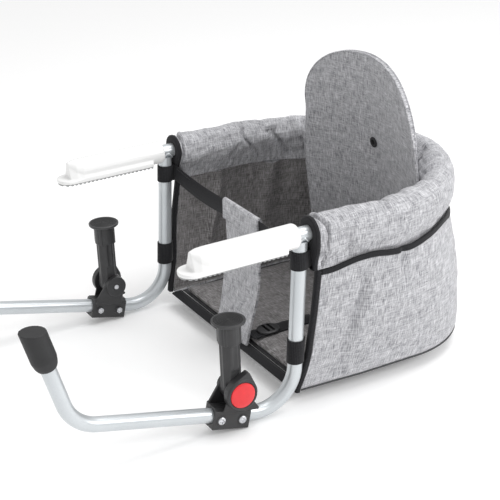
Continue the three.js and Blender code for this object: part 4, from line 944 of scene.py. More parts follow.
def grid_mesh(name, sheets, uvs, finish, inner_finish=None):
    """Faces over grids of places. The second grid takes the inner finish where one is given."""
    mesh = bpy.data.meshes.new(name)
    places = []
    faces = []
    marks = []
    inner_face_marks = []
    for number, (sheet, uv) in enumerate(zip(sheets, uvs)):
        rows, columns = sheet.shape[:2]
        start = len(places)
        places += [tuple(p) for p in sheet.reshape(-1, 3)]
        marks += [tuple(m) for m in uv.reshape(-1, 2)]
        for row in range(rows - 1):
            for column in range(columns - 1):
                a = start + row * columns + column
                faces.append((a, a + 1, a + columns + 1, a + columns))
                inner_face_marks.append(1 if inner_finish and number == 1 else 0)
    mesh.from_pydata(places, [], faces)
    mesh.polygons.foreach_set("material_index", inner_face_marks)
    layer = mesh.uv_layers.new(name="cloth")
    for loop in mesh.loops:
        layer.data[loop.index].uv = marks[loop.vertex_index]
    shape = bmesh.new()
    shape.from_mesh(mesh)
    bmesh.ops.remove_doubles(shape, verts=shape.verts, dist=1e-6)
    bmesh.ops.recalc_face_normals(shape, faces=shape.faces)
    shape.to_mesh(mesh)
    shape.free()
    mesh.materials.append(finish)
    if inner_finish:
        mesh.materials.append(inner_finish)
    return smooth_all(mesh, 60.0)


def shell_mesh(name, outer, inner, along, up, finish, inner_finish=None):
    """A closed sheet of cloth between two grids of places, joined along its four edges."""
    uv = np.stack([along, up], -1)
    sheets = [outer, inner[:, ::-1]]
    marks = [uv, uv[:, ::-1]]
    whole = slice(None)
    for edge in ((0, whole), (-1, whole), (whole, 0), (whole, -1)):
        sheets.append(np.stack([outer[edge], inner[edge]]))
        marks.append(np.stack([uv[edge], uv[edge]]))
    return grid_mesh(name, sheets, marks, finish, inner_finish)


wall_s = np.linspace(-1, 1, wall_columns)
wall_z = np.linspace(bucket_top_z, bucket_floor_z + 0.003, wall_rows)
wall_grid_s, wall_grid_z = np.meshgrid(wall_s, wall_z, indexing="ij")
wall_outer, wall_along = wall_places(wall_grid_s, wall_grid_z, 0.0)
hang = np.clip((bucket_top_z - wall_grid_z) / 0.15, 0, 1)
gather = np.zeros_like(wall_grid_z)
for share_round, depth, width in inner_gathers:
    for side in (-1, 1):
        centre = side * np.abs(wall_along).max() * share_round
        wide = width * (1 + 0.6 * hang)
        gather += depth * np.exp(-((wall_along - centre) / wide) ** 2) * np.exp(-hang * 0.9)
inner_depth = wall_thickness + gather + lining_unevenness * (1 + drift(wall_along, wall_grid_z, 5, 0.04))
wall_inner, _ = wall_places(wall_grid_s, wall_grid_z, -inner_depth)
under_s = np.repeat(wall_s[:, None], 2, 1)
under_z = np.full_like(under_s, bucket_floor_z)
under_out, _ = wall_places(under_s, under_z, np.array([[-0.002, -wall_turn_under]]))
under_in, _ = wall_places(under_s, under_z + wall_thickness, np.array([[-0.0055, -wall_turn_under]]))
wall_outer = np.concatenate([wall_outer, under_out], 1)
wall_inner = np.concatenate([wall_inner, under_in], 1)
wall_u = np.pad(wall_along, ((0, 0), (0, 2)), "edge")
wall_v = np.concatenate([wall_grid_z, under_z - (0.0, wall_turn_under)], 1)
# The wall's inner face takes the darkened melange: painted shade for the bucket's dim inside.
wall_mesh = shell_mesh("wall_cloth", wall_outer, wall_inner, wall_u, wall_v,
                       melange_cloth, shaded_inside_cloth)
wall_piece = fitted("wall_cloth", wall_mesh, "bucket_wall", "frame")


# ---- Outer pocket ---------------------------------------------------------------------------
# A second, unpadded layer of the same cloth is sewn on at the front edges and the floor seam
# and stands off the wall at its mouth. Black tape binds the mouth, which sags at the rear.
pocket_thickness = 0.0022
pocket_mouth_gap = 0.003
mouth_shape = [(0.0, -0.0425), (0.04, -0.0425), (0.07, -0.0395), (0.10, -0.0355), (0.15, -0.0335),
               (0.20, -0.0343), (0.25, -0.0385), (0.30, -0.0403), (0.35, -0.0403), (0.40, -0.0388),
               (0.45, -0.0372), (0.50, -0.0355), (0.55, -0.0350), (0.60, -0.0383), (0.68, -0.0450),
               (0.8, -0.049), (0.9, -0.0515), (1.0, -0.055)]
tape_height = 0.0085
tape_thickness = 0.0034
tape_rib = 0.0011
stitch_pitch = 0.0036
stitch_length = 0.0028
stitch_thickness = 0.0006
bottom_piping_radius = 0.0012


def mouth_z(s):
    """The height of the pocket's mouth round the bucket."""
    from_front = 1 - np.abs(s)
    xs, zs = zip(*mouth_shape)
    return sum(np.interp(np.clip(from_front + shift, 0, 1), xs, zs) / 7
               for shift in np.linspace(-0.025, 0.025, 7))


def pocket_gap(s, level):
    """How far the pocket stands off the wall: nothing at the front edges and towards the floor."""
    from_front = 1 - np.abs(s)
    opening = np.clip(from_front / 0.10, 0, 1) * (1 - 0.5 * np.exp(-((from_front - 0.68) / 0.06) ** 2))
    return pocket_mouth_gap * opening * np.clip(1 - level * 1.6, 0, 1) + cloth_gap


pocket_s = np.linspace(-1, 1, 340)
pocket_levels = np.linspace(0, 1, 46)
grid_s, grid_level = np.meshgrid(pocket_s, pocket_levels, indexing="ij")
mouth = mouth_z(grid_s)
pocket_z = mouth + (bucket_floor_z + 0.001 - mouth) * grid_level
pocket_share = (bucket_top_z - pocket_z) / (bucket_top_z - bucket_floor_z)
turn_in = 0.0045 * np.clip((pocket_share - 0.94) / 0.06, 0, 1) ** 2
ripple = 0.0007 * drift(grid_s * 0.6, pocket_z, 23, 0.035) * np.sin(math.pi * np.clip(grid_level, 0, 1))
pocket_offset = pocket_gap(grid_s, grid_level) - turn_in + ripple
pocket_out, pocket_along = wall_places(grid_s, pocket_z, pocket_offset + pocket_thickness)
pocket_in, _ = wall_places(grid_s, pocket_z, pocket_offset)
pocket_mesh = shell_mesh("pocket_cloth", pocket_out, pocket_in, pocket_along, pocket_z, melange_cloth)
pocket_piece = fitted("pocket_cloth", pocket_mesh, "outer_pocket", "frame")

# Woven tape: fine ribs along it and the fuzz of its threads.
black_tape, tree, shader = new_finish(
    "black_tape", roughness=0.85, sheen_weight=0.1, sheen_roughness=0.4)
shader.inputs["Specular IOR Level"].default_value = 0.25
place = cloth_place(tree)
ribs = add_node(tree, "ShaderNodeTexWave", {
    "Vector": place, "Scale": 1 / tape_rib / 6.3, "Distortion": 1.2, "Detail": 2.0, "Detail Scale": 3.0},
    bands_direction="X").outputs["Fac"]
tone = reckoned(tree, "MULTIPLY_ADD", ribs, 0.5, noise(tree, place, 420.0, 3.0))
colour = mixed(tree, ranged(tree, tone, 0.3, 1.2), (0.007, 0.007, 0.008), (0.026, 0.026, 0.029))
coloured(tree, shader, colour, tone, 0.5, 0.0004)


def gone_along(points):
    """How far along a line each of its points lies."""
    steps = np.linalg.norm(np.diff(points, axis=0), axis=1)
    return np.concatenate([[0], np.cumsum(steps)])


def ribbon(name, middle, across, facing, width, thickness, finish):
    """A flat tape with rounded edges along a line, from its middle, width and facing directions."""
    middle, across, facing = (np.array([tuple(v) for v in row], float)
                              for row in (middle, across, facing))
    across /= np.linalg.norm(across, axis=1)[:, None]
    facing /= np.linalg.norm(facing, axis=1)[:, None]
    half, thick = width / 2, thickness / 2
    ease = min(thick * 0.9, half * 0.5)
    section = [(-half, -thick + ease), (-half, thick - ease), (-half + ease * 0.4, thick - ease * 0.3),
               (-half + ease, thick), (0, thick), (half - ease, thick),
               (half - ease * 0.4, thick - ease * 0.3), (half, thick - ease), (half, -thick + ease),
               (half - ease, -thick), (0, -thick), (-half + ease, -thick), (-half, -thick + ease)]
    rows = np.stack([middle + across * a + facing * f for a, f in section], 1)
    uv = np.stack(np.meshgrid(gone_along(middle), gone_along(section), indexing="ij"), -1)
    mesh = grid_mesh(name, [rows], [uv], finish)
    shape = bmesh.new()
    shape.from_mesh(mesh)
    bmesh.ops.holes_fill(shape, edges=[e for e in shape.edges if e.is_boundary], sides=0)
    bmesh.ops.recalc_face_normals(shape, faces=shape.faces)
    shape.to_mesh(mesh)
    shape.free()
    return smooth_all(mesh, 60.0)


stitch_tree, given = new_tree(
    "stitch_row", Pitch="Float", Length="Float", Thick="Float", Thread="Material")
stitch_line = add_node(stitch_tree, "GeometryNodeMeshToCurve", {"Mesh": given["Geometry"]})
stitch_step = add_node(stitch_tree, "GeometryNodeResampleCurve", {
    "Curve": stitch_line.outputs["Curve"], "Length": given["Pitch"]}, mode="LENGTH")
stitch_knot = add_node(stitch_tree, "GeometryNodeMeshUVSphere", {
    "Segments": 6, "Rings": 4, "Radius": 0.5})
stitch_size = add_node(stitch_tree, "ShaderNodeCombineXYZ", {
    "X": given["Length"], "Y": given["Thick"], "Z": given["Thick"]})
stitch_along = add_node(stitch_tree, "FunctionNodeAlignRotationToVector", {
    "Vector": add_node(stitch_tree, "GeometryNodeInputTangent").outputs["Tangent"]}, axis="X")
stitch_put = add_node(stitch_tree, "GeometryNodeInstanceOnPoints", {
    "Points": stitch_step.outputs["Curve"], "Instance": stitch_knot.outputs["Mesh"],
    "Rotation": stitch_along.outputs["Rotation"], "Scale": stitch_size.outputs["Vector"]})
end_tree(stitch_tree, stitch_put.outputs["Instances"], given["Thread"])


def thread_finish(name, colour):
    """Twisted sewing thread."""
    material, tree, shader = new_finish(name, roughness=0.6, sheen_weight=0.2)
    twist = noise(tree, object_place(tree), 1500.0)
    darker = tuple(c * 0.6 for c in colour)
    coloured(tree, shader, mixed(tree, twist, darker, colour), twist, 0.5, 0.0002)
    return material


black_thread = thread_finish("black_thread", (0.05, 0.05, 0.055))
grey_thread = thread_finish("grey_thread", (0.42, 0.42, 0.44))


def stitches(name, rows, thread):
    """Rows of stitches along lines, as one piece of the frame."""
    sewn = [grown(name, row, stitch_tree, {
        "Pitch": stitch_pitch, "Length": stitch_length, "Thick": stitch_thickness, "Thread": thread})
        for row in rows]
    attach(new_piece(name, smooth_all(joined(name, sewn), 80.0)), "frame")


tape_s = np.linspace(-1, 1, 420)
tape_z = mouth_z(tape_s) + tape_height / 2 + 0.0002
tape_offset = pocket_gap(tape_s, 0.0) + tape_thickness / 2
tape_mid, _ = wall_places(tape_s, tape_z, tape_offset)
tape_high, _ = wall_places(tape_s, tape_z + 0.001, tape_offset)
tape_out, _ = wall_places(tape_s, tape_z, tape_offset + 0.001)
mouth_tape = ribbon("mouth_tape", tape_mid, tape_high - tape_mid, tape_out - tape_mid,
                    tape_height, tape_thickness, black_tape)
fitted("mouth_tape", mouth_tape, "pocket_binding", "frame")
seam_s = np.linspace(-0.985, 0.985, 700)
seam_offset = pocket_gap(seam_s, 0.0) + tape_thickness + 0.0001
seam_line, _ = wall_places(seam_s, mouth_z(seam_s) + 0.0016, seam_offset)
stitches("mouth_stitches", [seam_line], black_thread)

piping_s = np.linspace(-0.995, 0.995, 260)
piping_line, _ = wall_places(piping_s, np.full_like(piping_s, bucket_floor_z + 0.0012), 0.0006)
piping_mesh = grown("bottom_piping", piping_line, tube_tree, {
    "Radius": bottom_piping_radius, "Sides": 8, "Paint": black_thread})
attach(new_piece("bottom_piping", smooth_all(piping_mesh, 60.0)), "frame")


# ---- Front edge tapes -----------------------------------------------------------------------
# Black tape is folded over the cut front edges of wall and pocket, from the sleeve's end down
# to the floor, and sewn through.
edge_z = np.linspace(bucket_top_z, bucket_floor_z, 90)
edge_thickness = wall_thickness + pocket_thickness + cloth_gap * 2 + 0.001 * 2
for side_name, side in sides:
    edge_s = np.full_like(edge_z, float(side))
    middle, _ = wall_places(edge_s, edge_z, (pocket_thickness + cloth_gap - wall_thickness) / 2)
    out, _ = wall_places(edge_s, edge_z, 0.01)
    facing = out - middle
    facing[:, 2] = 0
    middle[:, 0] = front_x(edge_z) + binding_width / 2
    across = np.cross(np.gradient(middle, axis=0), facing)
    tape = ribbon("front_tape", middle, across, facing, binding_width, edge_thickness, black_tape)
    fitted(f"front_tape_{side_name}", tape, f"front_edge_binding_{side_name}", "frame")
    row = middle + facing / np.linalg.norm(facing, axis=1)[:, None] * (edge_thickness / 2 + 0.0001)
    row[:, 0] += binding_width * 0.3
    stitches(f"front_tape_stitches_{side_name}", [row[2:-2]], black_thread)


# ---- Floor, floor tape and seat board -------------------------------------------------------
# A dark cloth floor closes the bucket below; its free front edge is bound with wide tape. A
# stiff board in a thinly padded cover lies on it; the cover is the darkened inside melange, painted
# shade.
floor_band_width = 0.018
board_low = -0.2064
board_thickness = 0.012
board_front_x = 0.024
board_rear_x = 0.292
board_half_width = 0.160
board_corner = 0.110
plate_rings = 16
plate_edge = 0.985
corner_steps = 16
puff_pressure = 4.0
puff_frames = 20
pad_growth = 0.012
pad_reach = 0.0012

dark_cloth = cloth_finish(
    "dark_cloth", (0.018, 0.018, 0.020), (0.040, 0.040, 0.043), (0.085, 0.085, 0.09), 0.0009, 0.006)


def rounded_plate(name, outline, low, high, crown, finish):
    """A closed pad over an outline, crowned on top and eased round its edge."""
    outline = np.array(outline)
    middle = outline.mean(0)
    ease = (high - low) * 0.12
    levels = [(0.0, low), (0.9, low), (plate_edge, low + ease), (1.0, (low + high) / 2),
              (plate_edge, high - ease)]
    for k in range(1, plate_rings + 1):
        share = plate_edge * (1 - k / plate_rings)
        levels.append((share, high + crown * (1 - (share / plate_edge) ** 4)))
    uv = np.stack([middle + (outline - middle) * share for share, _ in levels])
    heights = np.array([height for _, height in levels])[:, None, None] + 0 * uv[..., :1]
    rows = np.concatenate([uv, heights], -1)
    rows, uv = (np.concatenate([grid, grid[:, :1]], 1) for grid in (rows, uv))
    return grid_mesh(name, [rows], [uv], finish)


def u_outline(front, rear, half, corner):
    """The outline of a board with square front corners and round rear ones."""
    turns = [math.pi / 2 * k / corner_steps for k in range(1, corner_steps + 1)]
    bend_x = rear - corner
    points = [(front, y) for y in np.linspace(half, -half, 30)]
    points += [(x, -half) for x in np.linspace(front, bend_x, 20)[1:]]
    points += [(bend_x + corner * math.sin(t), -half + corner - corner * math.cos(t)) for t in turns]
    points += [(rear, y) for y in np.linspace(-half + corner, half - corner, 24)[1:]]
    points += [(bend_x + corner * math.cos(t), half - corner + corner * math.sin(t)) for t in turns]
    points += [(x, half) for x in np.linspace(bend_x, front, 20)[1:-1]]
    return points


def puffed(mesh, is_sewn, growth, cap):
    """Inflates a closed casing with the cloth solver. Sewn places stay; no point moves past the cap."""
    casing = new_piece("casing", mesh)
    start = np.empty(len(mesh.vertices) * 3)
    mesh.vertices.foreach_get("co", start)
    start = start.reshape(-1, 3)
    sewn = casing.vertex_groups.new(name="sewn")
    sewn.add([int(i) for i in np.nonzero(is_sewn(start))[0]], 1.0, "REPLACE")
    cloth = casing.modifiers.new("cloth", "CLOTH")
    cloth.settings.quality = 4
    cloth.settings.mass = 0.15
    cloth.settings.tension_stiffness = cloth.settings.compression_stiffness = 12.0
    cloth.settings.shear_stiffness = 4.0
    cloth.settings.bending_stiffness = 0.15
    cloth.settings.use_pressure = True
    cloth.settings.uniform_pressure_force = puff_pressure
    cloth.settings.shrink_min = -growth
    cloth.settings.vertex_group_mass = "sewn"
    cloth.settings.effector_weights.gravity = 0.0
    cloth.collision_settings.use_collision = False
    cloth.point_cache.frame_start, cloth.point_cache.frame_end = 1, puff_frames
    for frame in range(1, puff_frames + 1):
        scene.frame_set(frame)
    filled = casing.evaluated_get(bpy.context.evaluated_depsgraph_get()).to_mesh()
    end = np.empty(len(filled.vertices) * 3)
    filled.vertices.foreach_get("co", end)
    moved = end.reshape(-1, 3) - start
    reach = np.linalg.norm(moved, axis=1)[:, None]
    moved *= np.where(reach > cap, cap / np.maximum(reach, 1e-9), 1.0)
    casing.modifiers.remove(cloth)
    bpy.data.objects.remove(casing)
    mesh.vertices.foreach_set("co", (start + moved).ravel())
    mesh.update()
    scene.frame_set(1)
    return mesh


floor_low, floor_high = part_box("bucket_floor")
floor_s = np.linspace(-1, 1, 160)
floor_edge, _ = wall_places(floor_s, np.full_like(floor_s, bucket_floor_z), floor_edge_offset)
floor_front = front_x(np.array(bucket_floor_z)) + floor_band_width + fit_gap
floor_points = [(max(x, floor_front), y) for x, y, _ in floor_edge]
floor_y = np.linspace(floor_points[-1][1], floor_points[0][1], 60)[1:-1]
floor_points += [(floor_front, y) for y in floor_y]
floor_mesh = rounded_plate(
    "floor_cloth", floor_points, floor_low.z, floor_high.z - 0.0004, 0.0003, dark_cloth)
floor_piece = fitted("floor_cloth", floor_mesh, "bucket_floor", "frame")
band_low, band_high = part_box("floor_edge_band")
band_y = np.linspace(band_low.y, band_high.y, 120)
band_line = [((band_low.x + band_high.x) / 2, y, (band_low.z + band_high.z) / 2) for y in band_y]
band = ribbon("floor_tape", band_line, [(1, 0, 0)] * len(band_line), [(0, 0, 1)] * len(band_line),
              floor_band_width, band_high.z - band_low.z, black_tape)
fitted("floor_tape", band, "floor_edge_band", "frame")
stitches("floor_tape_stitches", [[(band_high.x - inward, y, band_high.z + 0.0001) for y in band_y]
                                 for inward in (0.0025, 0.0045)], black_thread)
board_outline = u_outline(board_front_x, board_rear_x, board_half_width, board_corner)
board_middle_z = board_low + board_thickness * 0.5
board_mesh = rounded_plate("seat_pad", board_outline, board_low, board_low + board_thickness - 0.0020,
                           0.0008, shaded_inside_cloth)
board_mesh = puffed(board_mesh, lambda places: places[:, 2] < board_middle_z, pad_growth, pad_reach)
board_piece = fitted("seat_pad", board_mesh, "seat_board", "frame")


# ---- Arm sleeve -----------------------------------------------------------------------------
# A padded casing of melange cloth is drawn over the rim and sewn to the wall below it. It is
# longer than the tube, so it puckers, most of all inside the bend, and its inner seam is
# stitched twice. Black tape binds the ends.
sleeve_radius = 0.021
sleeve_front_x = 0.034
sleeve_skirt = 0.050
section_corners = [(0.1, -1), (-0.3, -0.6), (-0.82, -0.22), (-1, 0), (-0.87, 0.5), (-0.5, 0.87), (0, 1),
                   (0.5, 0.87), (0.87, 0.5), (1, 0), (0.97, -0.4), (0.70, -0.72), (0.56, -1)]
section_points = 48
pucker_centres = [(0.145, 0.004), (0.185, 0.0032), (0.215, 0.0026), (0.255, 0.0045), (0.30, 0.003),
                  (0.345, 0.004), (0.39, 0.0026), (0.43, 0.0034), (0.475, 0.003), (0.52, 0.0036),
                  (0.56, 0.003)]
casing_folds = [
    (0.0075, 0.0045, [(-0.036, 0.142), (-0.030, 0.137), (-0.011, 0.120), (0.0, 0.109), (0.010, 0.107),
                      (0.021, 0.112)]),
    (0.0130, 0.0075, [(-0.046, 0.193), (-0.030, 0.184), (-0.011, 0.170), (0.0, 0.160), (0.008, 0.157)]),
    (0.0080, 0.0045, [(-0.046, 0.214), (-0.030, 0.213), (0.0, 0.208), (0.018, 0.209)]),
    (0.0050, 0.0050, [(-0.034, 0.084), (-0.020, 0.090), (-0.008, 0.094)]),
    (0.0050, 0.0060, [(-0.040, 0.262), (-0.010, 0.252), (0.015, 0.246)]),
    (0.0060, 0.0060, [(-0.040, 0.330), (-0.010, 0.338), (0.015, 0.350)]),
]
seam_pitch = 0.0105
casing_growth = 0.03
casing_reach = 0.0035
backrest_edge_x = 0.240
backrest_half = 0.141
backrest_dent = 0.0055
least_padding = 0.0025
bore_radius = tube_radius + 0.0005
end_rows = ((0.028, 0.93), (0.0283, 0.985), (0.0295, 1.03), (0.0325, 1.03), (0.0337, 1.0))


def smooth_section():
    """The casing's section as a smooth line of (across, up) in metres, from seam to seam."""
    corners = []
    for across, up in section_corners:
        corners.append((across * sleeve_radius, up * (sleeve_skirt if up < 0 else sleeve_radius)))
    corners = [corners[0], *corners, corners[-1]]
    line = []
    for k in range(section_points):
        t = k / (section_points - 1) * (len(corners) - 3)
        i = min(int(t), len(corners) - 4)
        f = t - i
        p = [np.array(c) for c in corners[i:i + 4]]
        line.append(0.5 * (2 * p[1] + (p[2] - p[0]) * f
                           + (2 * p[0] - 5 * p[1] + 4 * p[2] - p[3]) * f ** 2
                           + (3 * p[1] - p[0] - 3 * p[2] + p[3]) * f ** 3))
    return np.array(line)


def rim_frame(along):
    """Places and outward directions on the rim's centre line, from the left end to the right."""
    bend_x = rim_depth - arm_half_spacing
    straight = bend_x - sleeve_front_x
    arc = arm_half_spacing * math.pi
    turn = np.clip((along - straight) / arm_half_spacing, 0, math.pi)
    x = np.where(along < straight, sleeve_front_x + along, bend_x + arm_half_spacing * np.sin(turn))
    x = np.where(along > straight + arc, bend_x - (along - straight - arc), x)
    y = -arm_half_spacing * np.cos(turn)
    return np.stack([x, y], -1), np.stack([np.sin(turn), -np.cos(turn)], -1), 2 * straight + arc


section = smooth_section()
_, _, sleeve_length = rim_frame(np.array([0.0]))
sleeve_along = np.concatenate([
    np.linspace(0.0004, 0.032, 44), np.linspace(0.034, sleeve_length / 2, 190)])
sleeve_along = np.concatenate([sleeve_along, sleeve_length - sleeve_along[-2::-1]])
sleeve_place, sleeve_out, _ = rim_frame(sleeve_along)
across, up = (np.repeat(section[None, :, k], len(sleeve_along), 0) for k in (0, 1))
along_grid = sleeve_along[:, None] + 0 * up
from_end = np.minimum(sleeve_along, sleeve_length - sleeve_along)[:, None]
inside = np.clip(-across / sleeve_radius, 0, 1)
outside = np.clip(across / sleeve_radius, 0, 1)
pucker = np.zeros_like(across)
for centre, depth in pucker_centres:
    slant = 0.35 * (sleeve_radius - up) * (1 if centre < 0.3 else -0.6)
    width = 0.0045 + 0.0035 * inside
    for middle, shift in ((centre, slant), (sleeve_length - centre, -slant)):
        off = (along_grid - middle - shift) / width
        pucker += depth * np.exp(-off ** 2) * (0.25 + 0.75 * inside)
soft = 0.0011 * drift(along_grid, up, 31, 0.07)
fine = 0.0005 * drift(along_grid, up * 2, 37, 0.022)
cuff_place = np.interp(
    np.linspace(0, 1, len(section))[None, :], (0, 0.5, 0.58, 0.66, 0.75, 0.83, 0.92, 1.0),
    (0.003, 0.004, 0.0075, 0.0115, 0.0130, 0.0100, 0.0075, 0.0070))
behind_cuff = from_end - cuff_place
cuff = 0.0050 * np.exp(-np.abs(behind_cuff / 0.0013) ** 1.5) + 0.0012 * (behind_cuff < 0)
cuff -= 0.0022 * np.exp(-((behind_cuff - 0.0055) / 0.0035) ** 2)
cuff += 0.0030 * np.exp(-((from_end - 0.034 - 0.25 * (sleeve_radius - up)) / 0.006) ** 2) * outside
for fold_depth, fold_width, fold_places in casing_folds:
    heights, places = zip(*fold_places)
    fold_line = np.interp(up, heights, places)
    ends = np.clip((up - heights[0]) / 0.006 + 1, 0, 1) * np.clip((heights[-1] - up) / 0.006 + 1, 0, 1)
    crease = np.exp(-np.abs((from_end - fold_line) / fold_width) ** 1.4)
    cuff += fold_depth * ends * crease * np.clip(0.35 - across / sleeve_radius, 0, 1)
wander = 1.5 * drift(along_grid, up, 53, 0.05)
seam_ripple = 0.0011 * np.sin(from_end * 2 * math.pi / seam_pitch + wander)
cuff += seam_ripple * np.exp(-((up + 0.040) / 0.010) ** 2) * (across < sleeve_radius * 0.2)
section_ahead = np.gradient(section, axis=0)
section_ahead /= np.linalg.norm(section_ahead, axis=1)[:, None]
held = np.clip(np.minimum(np.arange(len(section)), np.arange(len(section))[::-1]) / 3, 0, 1)
below = np.clip((0.006 - up) / 0.012, 0, 1) * inside ** 0.5
backrest_edge = np.stack([np.full_like(sleeve_along, backrest_edge_x),
                          np.sign(sleeve_place[:, 1]) * backrest_half], -1)
near_edge = np.exp(-(np.linalg.norm(sleeve_place - backrest_edge, axis=1) / 0.030) ** 2)[:, None]
stand_off = (soft + fine - pucker * 0.8 - cuff + 0.0042 * below * (1 - near_edge)) * held
bearing = np.degrees(np.arctan2(sleeve_out[:, 0], np.abs(sleeve_out[:, 1])))[:, None]
behind_edge = np.exp(-((bearing - 52) / 11) ** 2)
body_across = across - section_ahead[None, :, 1] * stand_off + inside * backrest_dent * near_edge
body_across = body_across - inside * backrest_dent * behind_edge
body_up = up + section_ahead[None, :, 0] * stand_off
from_tube = np.hypot(body_across, body_up)
least = tube_radius + least_padding
kept_off = np.where(from_tube < least, least / np.maximum(from_tube, 1e-6), 1)
body_across, body_up = body_across * kept_off, body_up * kept_off
sleeve_skin = np.concatenate([
    sleeve_place[:, None, :] + sleeve_out[:, None, :] * body_across[..., None],
    (arm_height + body_up)[..., None]], -1)
section_gone = gone_along(section)
sleeve_uv = np.stack(np.meshgrid(sleeve_along, section_gone, indexing="ij"), -1)
bore_angles = np.linspace(-math.pi * 0.5, -math.pi * 2.5, len(section))
bore_across = np.cos(bore_angles) * bore_radius
bore = np.concatenate([
    sleeve_place[:, None, :] + sleeve_out[:, None, :] * bore_across[None, :, None],
    (arm_height + np.sin(bore_angles) * bore_radius)[None, :, None].repeat(len(sleeve_along), 0)], -1)
hem = np.stack([sleeve_skin[:, 0], sleeve_skin[:, -1]], 1)
hem_uv = np.stack([sleeve_uv[:, 0], sleeve_uv[:, 0] + 0.01], 1)
ends = [np.stack([sleeve_skin[i], bore[i]]) for i in (0, -1)]
ends_uv = [np.stack([sleeve_uv[i], sleeve_uv[i] + 0.01]) for i in (0, -1)]
sleeve_mesh = grid_mesh("arm_casing", [sleeve_skin, hem, bore, *ends],
                        [sleeve_uv, hem_uv, sleeve_uv, *ends_uv], melange_cloth)


def sewn_casing(places):
    """The casing's seam below, its ends and what lies on the tube stay where they are."""
    bend_x = rim_depth - arm_half_spacing
    ahead = np.maximum(places[:, 0] - bend_x, 0)
    off_tube = np.abs(np.hypot(ahead, places[:, 1]) - arm_half_spacing)
    on_tube = np.hypot(off_tube, places[:, 2] - arm_height) < tube_radius + 0.0012
    in_seam = places[:, 2] < arm_height - sleeve_skirt * 0.86
    return on_tube | in_seam | (places[:, 0] < sleeve_front_x + 0.002)


sleeve_piece = fitted("arm_casing", puffed(sleeve_mesh, sewn_casing, casing_growth, casing_reach),
                      "arm_sleeve", "frame")
stitches("casing_stitches", [sleeve_skin[4:-4, column] for column in (2, 4)], grey_thread)

for side_name, side in sides:
    rows = [[(x, side * (arm_half_spacing + a * scale), arm_height + (u * scale if u > 0 else u))
             for a, u in section] for x, scale in end_rows]
    hole, hole_front = ([(x, side * (arm_half_spacing + math.cos(t) * bore_radius),
                          arm_height + math.sin(t) * bore_radius) for t in bore_angles]
                        for x in (end_rows[-1][0], end_rows[0][0]))
    rows = np.array([hole_front, *rows, hole, hole_front])
    ring_gone = np.array([0, 0.01, 0.011, 0.0125, 0.0155, 0.017, 0.027, 0.033])
    uv = np.stack(np.meshgrid(ring_gone, section_gone, indexing="ij"), -1)
    foot = np.stack([rows[1:6, 0], rows[1:6, -1]], 1)
    foot_uv = np.stack([uv[1:6, 0], uv[1:6, 0] + 0.01], 1)
    band = grid_mesh("end_tape", [rows, foot], [uv, foot_uv], black_tape)
    fitted(f"end_tape_{side_name}", band, f"sleeve_end_binding_{side_name}", "frame")


# ---- Backrest -------------------------------------------------------------------------------
# A bowed board in a thin padded cover of the same melange, standing on the seat board. A fine
# piped seam runs round both faces, and a black eyelet lets a harness strap through.
back_half = backrest_half
back_edge_x = backrest_edge_x
back_bow = 0.029
back_bow_power = 1.6
back_shoulder_z = 0.062
back_rise = 0.110
back_top_power = 2.3
back_lean = math.tan(math.radians(5.5))
back_thickness = 0.008
back_edge_thickness = 0.004
back_corner = 0.040
back_low = board_low + board_thickness + 0.0006
back_slack_x = 0.008
back_slack_y = 0.006
piping_radius = 0.0011
piping_step = 0.0025
eyelet_z = 0.036
eyelet_radius = 0.008
eyelet_bore = 0.004
eyelet_rim = 0.0016


def back_edges(a):
    """The lowest and highest point and the middle of the board's thickness, across it."""
    lift = np.clip(1 - np.abs(a) ** back_top_power, 0, 1) ** (1 / back_top_power)
    corner = 1 - np.clip(lift * 2, 0, 1)
    top = back_shoulder_z + back_rise * lift
    low = back_low + back_corner * corner
    half = (back_thickness + (back_edge_thickness - back_thickness) * corner) / 2
    x = back_edge_x + back_bow - back_bow * np.abs(a) ** back_bow_power
    return low, top, half, x


a_line = -np.cos(np.linspace(0, math.pi, 150))
b_line = (1 - np.cos(np.linspace(0, math.pi, 90))) / 2
grid_a, grid_b = np.meshgrid(a_line, b_line, indexing="ij")
low, top, half, x_mid = back_edges(grid_a)
z_back = low + half + (top - low - 2 * half) * grid_b
x_mid = x_mid - back_lean * z_back
slack = np.clip(grid_a, 0, 1) ** 4 * np.clip((back_shoulder_z - z_back) / 0.08, 0, 1)
x_mid = x_mid - back_slack_x * slack
y_back = grid_a * (back_half - 0.001) + back_slack_y * slack
edge_near = np.minimum(np.minimum((1 - np.abs(grid_a)) * back_half * 2.5, (top - z_back)), z_back - low)
ease_in = 1 - np.exp(-np.clip(edge_near, 0, 1) / 0.005)
pad = half * (0.55 + 0.45 * ease_in) + 0.0005 * drift(y_back, z_back, 41, 0.06) * ease_in
front_face = np.stack([x_mid - pad, y_back, z_back], -1)
rear_face = np.stack([x_mid + pad, y_back, z_back], -1)
back_mesh = shell_mesh("backrest_cover", front_face, rear_face, y_back, z_back, melange_cloth)


def border_line(face):
    """The line round a face, a little inside its edge."""
    ring = [*face[:, 0], *face[-1, 1:], *face[::-1, -1][1:], *face[0, ::-1][1:-1]]
    kept = [Vector(ring[0])]
    for corner in ring[1:]:
        if (Vector(corner) - kept[-1]).length > piping_step:
            kept.append(Vector(corner))
    if (kept[-1] - kept[0]).length < piping_step:
        kept.pop()
    return kept


